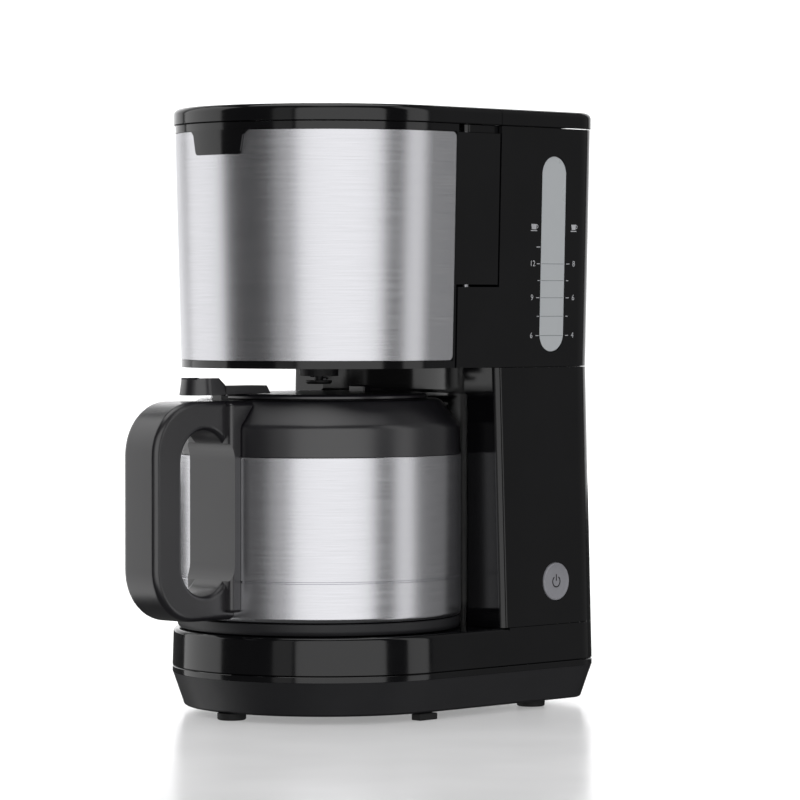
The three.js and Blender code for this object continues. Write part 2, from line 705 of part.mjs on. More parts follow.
// Hoses start and end a gap clear of what they plug on to.
const valveTop = DECK_TOP + 26;
node(
  "check_valve",
  chassis,
  cut(
    join(
      post(OUTLET_X, OUTLET_Y, DECK_TOP + 8, valveTop, 6.5),
      post(OUTLET_X, OUTLET_Y, DECK_TOP + 2, valveTop + 6, HOSE_BORE),
    ),
    post(OUTLET_X, OUTLET_Y, DECK_TOP, valveTop + 8, HOSE_BORE - 1),
  ),
  WHITE,
);
const spigotLow = HEAD_LOW + 1;
node(
  "cold_hose",
  chassis,
  tube(
    [
      [OUTLET_X, OUTLET_Y, spigotLow - 2],
      [OUTLET_X, OUTLET_Y, valveTop + 6 + GAP],
    ],
    HOSE_RADIUS,
    HOSE_BORE,
    4,
  ),
  SILICONE,
);
node(
  "heater_hose",
  chassis,
  tube(
    [
      [OUTLET_X, OUTLET_Y, DECK_TOP + 2 - 2 * GAP],
      [OUTLET_X, OUTLET_Y, heaterZ + HEATER_RADIUS + 6],
      [HEATER_HALF, HEATER_BACK + 12, heaterZ],
      [HEATER_HALF, HEATER_BACK + GAP, heaterZ],
    ],
    HOSE_RADIUS,
    HOSE_BORE,
    HOSE_STEPS,
  ),
  SILICONE,
);

const riserBackY = DECK_HOLE_FRONT + 6;
const riserCross = HEAD_LOW + (TANK_FLOOR_RISE - WALL) / 2;
const coverInner = LID_LOW + LID_HEIGHT - WALL;
const riserTop = coverInner - RISER_RADIUS - 2 * GAP;
const showerLow = LID_LOW + GAP;
const showerTop = coverInner - GAP;
// Direction in plan from the shower head's centre to the riser, and where the riser ends.
const inletLength = Math.hypot(RISER_X, RISER_Y - CARAFE_Y);
const [inletX, inletY] = [RISER_X / inletLength, (RISER_Y - CARAFE_Y) / inletLength];
const inletReach = SHOWER_RADIUS + 2 * GAP;
node(
  "riser_tube",
  chassis,
  tube(
    [
      [-HEATER_HALF, HEATER_BACK + GAP, heaterZ],
      [-HEATER_HALF, HEATER_BACK + 12, heaterZ],
      [RISER_X, HEATER_BACK + 12, heaterZ + 16],
      [RISER_X, riserBackY, DECK_TOP + 24],
      [RISER_X, riserBackY, riserCross],
      [RISER_X, RISER_Y, riserCross],
      [RISER_X, RISER_Y, riserTop],
      [inletX * inletReach, CARAFE_Y + inletY * inletReach, riserTop],
    ],
    RISER_RADIUS,
    RISER_BORE,
    RISER_STEPS,
  ),
  SILICONE,
);

// Perforated plate with a low wall, open where the riser meets it.
function showerHead() {
  const disc = (z0, z1, radius) => post(0, CARAFE_Y, z0, z1, radius, 28);
  let plate = cut(
    disc(showerLow, showerTop, SHOWER_RADIUS),
    disc(showerLow + SHOWER_THICKNESS, showerTop + 1, SHOWER_RADIUS - SHOWER_THICKNESS),
    post(
      inletX * SHOWER_RADIUS,
      CARAFE_Y + inletY * SHOWER_RADIUS,
      showerLow + SHOWER_THICKNESS,
      showerTop + 1,
      RISER_RADIUS,
    ),
  );
  for (let i = 0; i < SHOWER_HOLES; i++) {
    const angle = (i / SHOWER_HOLES) * 2 * Math.PI;
    const [x, y] = [Math.cos(angle), Math.sin(angle)].map((v) => v * SHOWER_RING);
    plate = cut(plate, post(x, CARAFE_Y + y, LID_LOW - 1, showerTop, SHOWER_HOLE, 8));
  }
  return plate;
}
node("shower_head", chassis, showerHead(), STEEL);

// ---------------------------------------------------------------- column

const bayRadius = CARAFE_RADIUS + BAY_GAP;
const columnFront = (z) =>
  COLUMN_FRONT_LOW +
  ((COLUMN_FRONT_TOP - COLUMN_FRONT_LOW) * (z - COLUMN_LOW)) / (COLUMN_TOP - COLUMN_LOW);
const buttonZ = DECK_TOP + BUTTON_Z;
const buttonFace = BODY_RADIUS - setback(buttonZ) + BUTTON_PROUD;

function columnShell() {
  const shape = (inset, z0, z1) =>
    loft([
      rearPlan(setback(z0) + inset, columnFront(z0) + inset, inset, z0, WING_EDGE - inset / 2),
      rearPlan(setback(z1) + inset, columnFront(z1) + inset, inset, z1, WING_EDGE - inset / 2),
    ]);
  const bandLow = COLUMN_TOP - NECK_BAND;
  const bay = (extra) =>
    join(
      post(0, CARAFE_Y, COLUMN_LOW - 2, bandLow, bayRadius + extra, 2 * TURN),
      post(0, CARAFE_Y, bandLow - 1, COLUMN_TOP + 2, bayRadius - NECK_BAND_STEP + extra, 2 * TURN),
    );
  const inside = cut(shape(WALL, COLUMN_LOW - 1, COLUMN_TOP + 1), bay(WALL));
  return cut(
    shape(0, COLUMN_LOW, COLUMN_TOP),
    bay(0),
    inside,
    rod(BODY_RADIUS / 2, BODY_RADIUS + 5, BUTTON_Y, buttonZ, BUTTON_RADIUS + BUTTON_GAP, 24),
  );
}
node("column_shell", chassis, columnShell(), GLOSS);

// Button, with a flange behind the wall, and the switch it pushes.
const flangeFront =
  BODY_RADIUS - WALL - setback(buttonZ + BUTTON_RADIUS + BUTTON_FLANGE) - 2 * GAP;
node(
  "power_button",
  machine,
  join(
    rod(flangeFront - 1.6, buttonFace, BUTTON_Y, buttonZ, BUTTON_RADIUS, 24),
    rod(flangeFront - 1.8, flangeFront, BUTTON_Y, buttonZ, BUTTON_RADIUS + BUTTON_FLANGE, 24),
    rod(flangeFront - 5, flangeFront - 1.5, BUTTON_Y, buttonZ, 3),
  ),
  SILVER,
);
const switchFront = flangeFront - 5 - 2;
node(
  "switch_body",
  chassis,
  block(
    [switchFront - 14, BUTTON_Y - 8, buttonZ - 8],
    [switchFront, BUTTON_Y + 8, buttonZ + 8],
  ),
  WHITE,
);
node(
  "control_board",
  chassis,
  block(
    [switchFront - 14 - GAP - 1.6, BUTTON_Y - 14, buttonZ - 14],
    [switchFront - 14 - GAP, BUTTON_Y + 26, buttonZ + 44],
  ),
  BOARD,
);

// ---------------------------------------------------------------- tank and its lid

const lidAxisY = BODY_BACK - LID_AXIS_IN;
const lidAxisZ = HEAD_TOP + LID_AXIS_UP;
const windowLow = HEAD_LOW + WINDOW_LOW;
const windowHigh = HEAD_TOP - WINDOW_HIGH;

// Round-ended slot through the right wall, grown by extra.
function windowSlot(extra, x0, x1) {
  const half = WINDOW_WIDTH / 2 + extra;
  return sideShape(
    roundedRectangle(
      [WINDOW_Y - half, windowLow - extra],
      [WINDOW_Y + half, windowHigh + extra],
      half,
      6,
    ),
    x0,
    x1,
  );
}

const sideFront = HOLDER_END + SWING_GAP;
const leafStop = LEAF_END + SWING_GAP;

function tankHousing() {
  const outer = headSolid(HEAD_LOW, HEAD_TOP, 0);
  const inner = headSolid(HEAD_LOW - 1, HEAD_TOP + 1, WALL);
  const frontWall = TANK_FRONT - WALL;
  const tank = loft([
    rearPlan(setback(TANK_FLOOR) + WALL, TANK_FRONT, WALL, TANK_FLOOR),
    rearPlan(setback(HEAD_TOP) + WALL, TANK_FRONT, WALL, HEAD_TOP + 1),
  ]);
  let housing = cut(
    outer,
    ahead(sideFront),
    inner.intersect(ahead(frontWall)),
    block([0, -FAR, SIDE_PANEL_TOP], [FAR, leafStop, FAR]),
    tank,
    windowSlot(GAP, BODY_RADIUS / 2, FAR),
    inner.intersect(slab(HEAD_LOW - 1, TANK_FLOOR - WALL)),
    post(OUTLET_X, OUTLET_Y, HEAD_LOW - 1, TANK_FLOOR + 1, HOSE_BORE - 1),
    block([RISER_X - 5, frontWall - 1, HEAD_LOW - 1], [RISER_X + 5, TANK_FRONT + 1, TANK_FLOOR - WALL]),
  );
  // Spigot under the floor for the cold hose.
  housing = join(
    housing,
    cut(
      post(OUTLET_X, OUTLET_Y, spigotLow, TANK_FLOOR - 1, HOSE_RADIUS),
      post(OUTLET_X, OUTLET_Y, HEAD_LOW - 1, TANK_FLOOR + 1, HOSE_BORE - 1),
    ),
  );
  // Lower knuckle on the side panel and upper arm over the leaf, both bored for the hinge pins.
  const lowKnuckle = join(
    post(HINGE_X, HINGE_Y, SIDE_PANEL_TOP - KNUCKLE_HEIGHT, SIDE_PANEL_TOP, KNUCKLE_RADIUS),
    block(
      [HINGE_X, HINGE_Y - 2, SIDE_PANEL_TOP - KNUCKLE_HEIGHT],
      [BODY_RADIUS - setback(SIDE_PANEL_TOP) - 1.5, HINGE_Y + 2, SIDE_PANEL_TOP],
    ),
  );
  const armLow = HEAD_TOP - TRIM_HEIGHT;
  const upArm = join(
    post(HINGE_X, HINGE_Y, armLow, HEAD_TOP, KNUCKLE_RADIUS),
    block([HINGE_X - KNUCKLE_RADIUS, HINGE_Y, armLow], [HINGE_X + KNUCKLE_RADIUS, leafStop + 1, HEAD_TOP]),
    block([HINGE_X - KNUCKLE_RADIUS, leafStop, armLow], [HINGE_X + 2, frontWall + 1, HEAD_TOP]),
  );
  housing = cut(
    join(housing, lowKnuckle, upArm),
    post(HINGE_X, HINGE_Y, SIDE_PANEL_TOP - KNUCKLE_HEIGHT - 1, HEAD_TOP - GAP - 1, PIN_RADIUS + RUN),
  );
  // Two lugs that carry the lid.
  for (const side of [-1, 1]) {
    const [x0, x1] = [side * LID_LUG_X - LID_LUG_WIDTH / 2, side * LID_LUG_X + LID_LUG_WIDTH / 2];
    housing = join(
      housing,
      rod(x0, x1, lidAxisY, lidAxisZ, LID_LUG_RADIUS, 20),
      block([x0, lidAxisY - LID_LUG_RADIUS, HEAD_TOP - 2], [x1, lidAxisY + LID_LUG_RADIUS, lidAxisZ]),
    );
    housing = cut(housing, rod(x0 - 1, x1 + 1, lidAxisY, lidAxisZ, LID_PIN_RADIUS + RUN, 12));
  }
  return housing;
}
node("tank_housing", chassis, tankHousing(), GLOSS);

function waterWindow() {
  const wallFace = headSolid(HEAD_LOW, HEAD_TOP, 0.2);
  const wallBack = headSolid(HEAD_LOW - 1, HEAD_TOP + 1, WALL + 0.6);
  const flangeFace = headSolid(HEAD_LOW - 1, HEAD_TOP + 1, WALL + GAP);
  const flangeBack = headSolid(HEAD_LOW - 1, HEAD_TOP + 1, WALL + GAP + 1.2);
  const pane = cut(windowSlot(0, BODY_RADIUS / 2, FAR).intersect(wallFace), wallBack);
  const flange = cut(windowSlot(WINDOW_FLANGE, BODY_RADIUS / 2, FAR).intersect(flangeFace), flangeBack);
  return join(pane, flange).intersect(slab(TANK_FLOOR + GAP, HEAD_TOP));
}
node("water_window", chassis, waterWindow(), CLEAR);

// One lid shape, split into the fixed front cover and the hinged tank lid.
function lidShell() {
  const side = LID_SETBACK;
  const outer = loft([
    fullPlan(side, LID_SETBACK / 2, LID_LOW),
    fullPlan(side, LID_SETBACK / 2, LID_TOP - LID_ROUND),
    fullPlan(side + 0.3 * LID_ROUND, 0.3 * LID_ROUND, LID_TOP - 0.3 * LID_ROUND),
    fullPlan(side + LID_ROUND, LID_ROUND, LID_TOP),
  ]);
  const inner = loft([
    fullPlan(side + WALL, WALL, LID_LOW - 1),
    fullPlan(side + WALL, WALL, coverInner - 1),
    fullPlan(side + WALL + 1, WALL + 1, coverInner),
  ]);
  return { outer, inner };
}

const lid = lidShell();

node(
  "top_cover",
  chassis,
  cut(lid.outer.intersect(ahead(LID_SPLIT)), lid.inner.intersect(ahead(LID_SPLIT - WALL))),
  GLOSS,
);

function hingedLid() {
  const front = LID_SPLIT + SEAM;
  const reach = LID_LUG_RADIUS + RUN;
  let made = cut(
    lid.outer.intersect(behind(front)),
    lid.inner.intersect(behind(front + WALL)),
    // The lower back edge is cut away so that it clears the tank as the lid turns.
    block([-FAR, lidAxisY - reach, LID_LOW - 1], [FAR, FAR, lidAxisZ - LID_AXIS_UP / 2 + 0.3]),
  );
  for (const side of [-1, 1]) {
    const middle = side * LID_LUG_X;
    const half = LID_LUG_WIDTH / 2 + GAP;
    made = cut(
      made,
      block([middle - half, lidAxisY - reach - 1, LID_LOW - 1], [middle + half, FAR, lidAxisZ + reach]),
    );
    for (const out of [-1, 1]) {
      const [near, far] = [middle + out * half, middle + out * (half + LID_BOSS_WIDTH)];
      made = join(
        made,
        block(
          [Math.min(near, far), lidAxisY - 2, lidAxisZ - 1.6],
          [Math.max(near, far), lidAxisY + 2, coverInner + 0.5],
        ),
      );
    }
    made = join(made, rod(middle - half - 1, middle + half + 1, lidAxisY, lidAxisZ, LID_PIN_RADIUS, 12));
  }
  return made;
}
node("tank_lid", tankLid, hingedLid(), GLOSS);

// ---------------------------------------------------------------- filter holder

const panelInset = PANEL_THICKNESS + GAP;
const holderInset = panelInset + HOLDER_WALL;
const hinge = (z0, z1, radius) => post(HINGE_X, HINGE_Y, z0, z1, radius);

function holderShell() {
  const round = ahead(HOLDER_END);
  const skin = headSolid(HEAD_LOW, HEAD_TOP, 0);
  const recess = cut(
    headSolid(HEAD_LOW, HEAD_TOP, -5),
    headSolid(HEAD_LOW - 1, HEAD_TOP + 1, panelInset),
  ).intersect(slab(HEAD_LOW + TRIM_HEIGHT, HEAD_TOP - TRIM_HEIGHT))
    .intersect(ahead(HOLDER_END - PANEL_BORDER));
  const inside = headSolid(HEAD_LOW - 1, HEAD_TOP + 1, holderInset);
  const wall = cut(skin, recess, inside).intersect(round);
  // Floor under the basket, and a shelf that carries its rim.
  const flangeRadius = BASKET_TOP_RADIUS + BASKET_FLANGE;
  const disc = (z0, z1, radius) => post(0, CARAFE_Y, z0, z1, radius, TURN);
  const within = headSolid(HEAD_LOW, HEAD_TOP, holderInset - 1).intersect(ahead(HOLDER_END - 3));
  const floorHigh = HEAD_LOW + WALL;
  const floor = cut(
    join(within.intersect(slab(HEAD_LOW, floorHigh)), disc(HEAD_LOW, floorHigh, flangeRadius)),
    disc(HEAD_LOW - 1, floorHigh + 1, NOZZLE_RADIUS + 1),
    hinge(HEAD_LOW - 1, floorHigh + 1, HINGE_Y - HOLDER_END + SWING_GAP),
  );
  const shelfHigh = BASKET_TOP - BASKET_WALL - GAP;
  const shelf = cut(
    within.intersect(slab(shelfHigh - WALL, shelfHigh)),
    disc(0, HEAD_TOP, BASKET_TOP_RADIUS + GAP),
  );
  // Leaf behind the hinge axis, with a knuckle at each end for a pin.
  const leafTop = HEAD_TOP - TRIM_HEIGHT - SEAM;
  const leafRange = slab(LEAF_BOTTOM, leafTop);
  const leaf = cut(skin, headSolid(HEAD_LOW - 1, HEAD_TOP + 1, WALL))
    .intersect(leafRange)
    .intersect(block([0, HOLDER_END - 1, 0], [FAR, LEAF_END, FAR]));
  const web = (z0, z1) =>
    join(
      hinge(z0, z1, KNUCKLE_RADIUS),
      block([HINGE_X, HINGE_Y - 2, z0], [BODY_RADIUS - setback(z0) - 1, HINGE_Y + 2, z1]),
    );
  const knuckles = join(
    web(LEAF_BOTTOM, LEAF_BOTTOM + KNUCKLE_HEIGHT),
    web(leafTop - KNUCKLE_HEIGHT, leafTop),
  );
  return cut(
    join(wall, floor, shelf, leaf, knuckles),
    hinge(LEAF_BOTTOM - 1, LEAF_BOTTOM + KNUCKLE_HEIGHT + 1, PIN_RADIUS + GAP),
    hinge(leafTop - KNUCKLE_HEIGHT - 1, leafTop + 1, PIN_RADIUS + GAP),
  );
}
node("holder_shell", filterHolder, holderShell(), GLOSS);

const pinOverlap = KNUCKLE_HEIGHT - 1;
node(
  "hinge_pin_lower",
  filterHolder,
  hinge(SIDE_PANEL_TOP - pinOverlap, LEAF_BOTTOM + pinOverlap, PIN_RADIUS),
  STEEL,
);
node(
  "hinge_pin_upper",
  filterHolder,
  hinge(HEAD_TOP - TRIM_HEIGHT - SEAM - pinOverlap, HEAD_TOP - GAP - 1.5, PIN_RADIUS),
  STEEL,
);

node(
  "steel_front_panel",
  filterHolder,
  cut(
    headSolid(HEAD_LOW, HEAD_TOP, 0),
    headSolid(HEAD_LOW - 1, HEAD_TOP + 1, PANEL_THICKNESS),
  )
    .intersect(slab(PANEL_LOW, PANEL_HIGH))
    .intersect(ahead(HOLDER_END - PANEL_BORDER - GAP)),
  STEEL,
);

// Blank plaque that hangs below the top trim in front of the panel.
function badgePlate() {
  const low = PANEL_HIGH - BADGE_HEIGHT;
  const radius = BODY_RADIUS - TOP_SETBACK;
  const reach = (degrees) => radius * Math.sin(THREE.MathUtils.degToRad(degrees));
  const [narrow, wide] = [reach(BADGE_HALF_ANGLE), reach(BADGE_HALF_ANGLE + BADGE_FLARE)];
  const shape = new THREE.Shape([
    new THREE.Vector2(-narrow + 2, low),
    new THREE.Vector2(narrow - 2, low),
    new THREE.Vector2(narrow, low + 2),
    new THREE.Vector2(wide, PANEL_HIGH),
    new THREE.Vector2(-wide, PANEL_HIGH),
    new THREE.Vector2(-narrow, low + 2),
  ]);
  const depth = BODY_RADIUS + 10;
  const geometry = new THREE.ExtrudeGeometry(shape, { depth, bevelEnabled: false });
  geometry.rotateX(Math.PI / 2);
  const ring = cut(
    headSolid(HEAD_LOW, HEAD_TOP, -GAP - BADGE_THICKNESS),
    headSolid(HEAD_LOW - 1, HEAD_TOP + 1, -GAP),
  );
  return solid(geometry).intersect(ring);
}
node("badge_plate", filterHolder, badgePlate(), GLOSS);

const flangeLow = BASKET_TOP - BASKET_WALL;
node(
  "filter_basket",
  filterHolder,
  turned([
    [VALVE_STEM + 1.5, BASKET_FLOOR],
    [VALVE_STEM + 1.5, BASKET_FLOOR - BASKET_WALL],
    [NOZZLE_RADIUS - BASKET_WALL, BASKET_FLOOR - BASKET_WALL],
    [NOZZLE_RADIUS - BASKET_WALL, HEAD_LOW - NOZZLE_DROP],
    [NOZZLE_RADIUS, HEAD_LOW - NOZZLE_DROP],
    [NOZZLE_RADIUS, BASKET_FLOOR - BASKET_WALL],
    [BASKET_BOTTOM_RADIUS, BASKET_FLOOR - BASKET_WALL],
    [BASKET_TOP_RADIUS, flangeLow],
    [BASKET_TOP_RADIUS + BASKET_FLANGE, flangeLow],
    [BASKET_TOP_RADIUS + BASKET_FLANGE, BASKET_TOP],
    [BASKET_TOP_RADIUS - BASKET_WALL, BASKET_TOP],
    [BASKET_BOTTOM_RADIUS - BASKET_WALL, BASKET_FLOOR],
  ]).translate([0, CARAFE_Y, 0]),
  MATTE,
);

// Drip valve: a seal above the basket floor, a stem through it and a foot the carafe would lift.
const valveFoot = HEAD_LOW - VALVE_DROP;
node(
  "drip_valve",
  filterHolder,
  turned([
    [0, valveFoot],
    [VALVE_FOOT - 1, valveFoot],
    [VALVE_FOOT, valveFoot + 1],
    [VALVE_FOOT, valveFoot + VALVE_FOOT_HEIGHT],
    [VALVE_STEM, valveFoot + VALVE_FOOT_HEIGHT],
    [VALVE_STEM, BASKET_FLOOR + GAP],
    [VALVE_SEAL, BASKET_FLOOR + GAP],
    [VALVE_SEAL - 1, BASKET_FLOOR + 2.2],
    [0, BASKET_FLOOR + 2.2],
  ], 20).translate([0, CARAFE_Y, 0]),
  MATTE,
);

function valveSpring() {
  const low = valveFoot + VALVE_FOOT_HEIGHT + SPRING_WIRE + GAP;
  const high = BASKET_FLOOR - BASKET_WALL - SPRING_WIRE - GAP;
  const points = [];
  const steps = SPRING_TURNS * SPRING_TURN_STEPS;
  for (let i = 0; i <= steps; i++) {
    const angle = (i / SPRING_TURN_STEPS) * 2 * Math.PI;
    points.push(
      new THREE.Vector3(
        SPRING_RADIUS * Math.cos(angle),
        CARAFE_Y + SPRING_RADIUS * Math.sin(angle),
        low + ((high - low) * i) / steps,
      ),
    );
  }
  const extrudePath = new THREE.CatmullRomCurve3(points);
  return swept(extrudePath, SPRING_WIRE, 0, steps, SPRING_SIDES);
}
node("valve_spring", filterHolder, valveSpring(), STEEL);

// ---------------------------------------------------------------- carafe, about its own axis

const baseRadius = CARAFE_RADIUS - CARAFE_BASE_STEP;
node(
  "carafe_base",
  carafe,
  turned([
    [0, CARAFE_LOW + 2],
    [baseRadius - 20, CARAFE_LOW + 2],
    [baseRadius - 20, CARAFE_LOW],
    [baseRadius - 2, CARAFE_LOW],
    [baseRadius, CARAFE_LOW + 2.2],
    [baseRadius, CARAFE_LOW + CARAFE_BASE],
    [0, CARAFE_LOW + CARAFE_BASE],
  ]),
  MATTE,
);
const shellRound = 3.5;
node(
  "carafe_shell",
  carafe,
  turned([
    [0, STEEL_LOW],
    [CARAFE_RADIUS - shellRound, STEEL_LOW],
    [CARAFE_RADIUS, STEEL_LOW + shellRound],
    [CARAFE_RADIUS, STEEL_HIGH],
    [CARAFE_RADIUS - LINER_WALL, STEEL_HIGH],
    [CARAFE_RADIUS - LINER_WALL, STEEL_LOW + shellRound + 0.4],
    [CARAFE_RADIUS - shellRound - 0.4, STEEL_LOW + LINER_WALL],
    [0, STEEL_LOW + LINER_WALL],
  ]),
  STEEL,
);
const linerLow = STEEL_LOW + LINER_WALL + 2.5;
const linerShoulder = STEEL_HIGH - 5;
const neckLow = COLLAR_HIGH - 13;
const neckHigh = COLLAR_HIGH - 4;
node(
  "carafe_liner",
  carafe,
  turned([
    [0, linerLow],
    [LINER_RADIUS - shellRound, linerLow],
    [LINER_RADIUS, linerLow + shellRound],
    [LINER_RADIUS, linerShoulder],
    [LINER_RADIUS - 6, STEEL_HIGH + 4],
    [NECK_RADIUS, neckLow],
    [NECK_RADIUS, neckHigh],
    [NECK_RADIUS - LINER_WALL, neckHigh],
    [NECK_RADIUS - LINER_WALL, neckLow - 0.6],
    [LINER_RADIUS - 6.6, STEEL_HIGH + 3],
    [LINER_RADIUS - LINER_WALL, linerShoulder - 0.5],
    [LINER_RADIUS - LINER_WALL, linerLow + shellRound + 0.4],
    [LINER_RADIUS - shellRound - 0.4, linerLow + LINER_WALL],
    [0, linerLow + LINER_WALL],
  ]),
  STEEL,
);

const shoulderLow = COLLAR_LOW + COLLAR_UPRIGHT;
const collarProfile = (extra) => [
  [COLLAR_RADIUS + extra, shoulderLow + extra],
  [COLLAR_RADIUS - 3 + extra, shoulderLow + 5 + extra],
  [COLLAR_RADIUS - 10.1 + extra, shoulderLow + 15 + extra],
  [COLLAR_RADIUS - COLLAR_TOP_IN + extra, COLLAR_HIGH + extra],
];
function carafeCollar() {
  const ring = turned([
    [COLLAR_RADIUS, COLLAR_LOW],
    ...collarProfile(0),
    [NECK_RADIUS + NECK_CLEAR, COLLAR_HIGH],
    [NECK_RADIUS + NECK_CLEAR, neckLow + 2],
    [LINER_RADIUS - 4, STEEL_HIGH + 7],
    [COLLAR_RADIUS - 2, COLLAR_LOW],
  ]);
  // Pouring lip at the back, with a shallow channel.
  const root = COLLAR_RADIUS - COLLAR_TOP_IN - 4;
  const tip = COLLAR_RADIUS - COLLAR_TOP_IN + SPOUT_REACH;
  const plan = (rootHalf, tipHalf, tipY, z) =>
    [
      [-rootHalf, root],
      [rootHalf, root],
      [tipHalf, tipY],
      [-tipHalf, tipY],
    ].map(([x, y]) => new THREE.Vector3(x, y, z));
  const lip = loft([
    plan(SPOUT_HALF - 6, 1.5, tip - SPOUT_REACH + 3, COLLAR_HIGH - SPOUT_HEIGHT),
    plan(SPOUT_HALF, 3, tip, COLLAR_HIGH - 1),
    plan(SPOUT_HALF, 3, tip, COLLAR_HIGH),
  ]);
  const channel = loft([
    plan(SPOUT_HALF - 4, 1, tip - 4, COLLAR_HIGH - 3),
    plan(SPOUT_HALF - 2, 1.5, tip + 2, COLLAR_HIGH + 1),
  ]);
  return cut(join(ring, lip), channel);
}
node("carafe_collar", carafe, carafeCollar(), CHARCOAL);

// Lid with a hollow plug in the neck, and a small catch at the back.
const catchBack = CARAFE_LID_RADIUS - CATCH_IN;
const plugRadius = NECK_RADIUS - LINER_WALL - PLUG_GAP;
node(
  "carafe_lid",
  carafe,
  join(
    turned([
      [0, CARAFE_LID_TOP],
      [0, CARAFE_LID_LOW],
      [plugRadius - PLUG_WALL, CARAFE_LID_LOW],
      [plugRadius - PLUG_WALL, CARAFE_LID_LOW - PLUG_DEPTH],
      [plugRadius, CARAFE_LID_LOW - PLUG_DEPTH],
      [plugRadius, CARAFE_LID_LOW],
      [CARAFE_LID_RADIUS, CARAFE_LID_LOW],
      [CARAFE_LID_RADIUS, CARAFE_LID_TOP - 1],
      [CARAFE_LID_RADIUS - 1.5, CARAFE_LID_TOP],
    ]),
    block(
      [-CATCH_HALF, catchBack - CATCH_DEPTH, CARAFE_LID_TOP - 0.5],
      [CATCH_HALF, catchBack, CARAFE_LID_TOP + CATCH_HEIGHT],
    ),
  ),
  CHARCOAL,
);
node(
  "lid_gasket",
  carafe,
  turned([
    [plugRadius + GAP, CARAFE_LID_LOW - PLUG_DEPTH + 4],
    [plugRadius + 0.8, CARAFE_LID_LOW - PLUG_DEPTH + 4],
    [plugRadius + 0.8, CARAFE_LID_LOW - PLUG_DEPTH + 7],
    [plugRadius + GAP, CARAFE_LID_LOW - PLUG_DEPTH + 7],
  ]),
  SILICONE,
);

// Handle: a closed loop with a wider root that follows the carafe's wall.
const handleFrontY = HANDLE_FRONT - CARAFE_Y;
const fingerFront = handleFrontY + GRIP;
const fingerBack = fingerFront + FINGER_DEPTH;
const leverFrontY = handleFrontY + LEVER_FRONT;
const pivotY = leverFrontY + LEVER_PIVOT;
const pivotZ = HANDLE_HIGH + LEVER_PIVOT_UP;
const pinHalf = LEVER_ARM_WIDTH / 2 - PIN_SHORT;

function handle() {
  const low = CARAFE_LOW + HANDLE_LOW;
  const deep = -COLLAR_RADIUS + COLLAR_TOP_IN;
  const loop = [];
  // Outer outline: two round corners at the front and a plain back inside the carafe's wall.
  for (const [z, from] of [[low + HANDLE_CORNER, 3], [HANDLE_HIGH - HANDLE_CORNER, 2]]) {
    for (let i = 0; i <= 6; i++) {
      const angle = (Math.PI / 2) * (from - i / 6);
      loop.push([
        handleFrontY + HANDLE_CORNER + HANDLE_CORNER * Math.cos(angle),
        z + HANDLE_CORNER * Math.sin(angle),
      ]);
    }
  }
  loop.push([deep, HANDLE_HIGH], [deep, low]);
  const half = HANDLE_WIDTH / 2;
  const finger = roundedRectangle(
    [fingerFront, FINGER_LOW],
    [fingerBack, FINGER_TOP],
    FINGER_DEPTH / 2,
    6,
  );
  const root = block(
    [-HANDLE_ROOT_WIDTH / 2, -CARAFE_RADIUS - ROOT_DEPTH, low + 4],
    [HANDLE_ROOT_WIDTH / 2, deep, HANDLE_HIGH - 1],
  );
  const envelope = turned([
    [0, CARAFE_LOW - 5],
    [CARAFE_RADIUS + GAP, CARAFE_LOW - 5],
    [CARAFE_RADIUS + GAP, shoulderLow],
    ...collarProfile(2 * GAP),
    [0, COLLAR_HIGH + 2 * GAP],
  ]);
  const made = cut(
    join(sideShape(loop, -half, half), root),
    sideShape(finger, -FAR, FAR),
    envelope,
  );
  // Lug that carries the lever, bored for its pin.
  const lug = join(
    rod(-LUG_WIDTH / 2, LUG_WIDTH / 2, pivotY, pivotZ, LUG_RADIUS),
    block(
      [-LUG_WIDTH / 2, pivotY - LUG_RADIUS, HANDLE_HIGH - 1],
      [LUG_WIDTH / 2, pivotY + LUG_RADIUS, pivotZ],
    ),
  );
  return cut(join(made, lug), rod(-FAR, FAR, pivotY, pivotZ, LEVER_PIN + GAP, 12));
}

node("carafe_handle", carafe, handle(), CHARCOAL);

node(
  "lever_pin",
  carafe,
  rod(-pinHalf, pinHalf, pivotY, pivotZ, LEVER_PIN, 12),
  STEEL,
);

// Plan of the lever at height z: round front, straight pad and a narrower arm.
function leverPlan(drawn, z) {
  const radius = LEVER_WIDTH / 2 - drawn;
  const middle = leverFrontY + LEVER_WIDTH / 2;
  const padBack = leverFrontY + LEVER_PAD + 4;
  const back = leverFrontY + LEVER_LENGTH;
  const points = [];
  for (let i = 0; i <= LEVER_ARC; i++) {
    const angle = Math.PI * (1 + i / LEVER_ARC);
    points.push([radius * Math.cos(angle), middle + radius * Math.sin(angle)]);
  }
  const arm = LEVER_ARM_WIDTH / 2;
  points.push([radius, padBack], [arm, padBack + 4], [arm, back]);
  points.push([-arm, back], [-arm, padBack + 4], [-radius, padBack]);
  return points.map(([x, y]) => new THREE.Vector3(x, y, z));
}

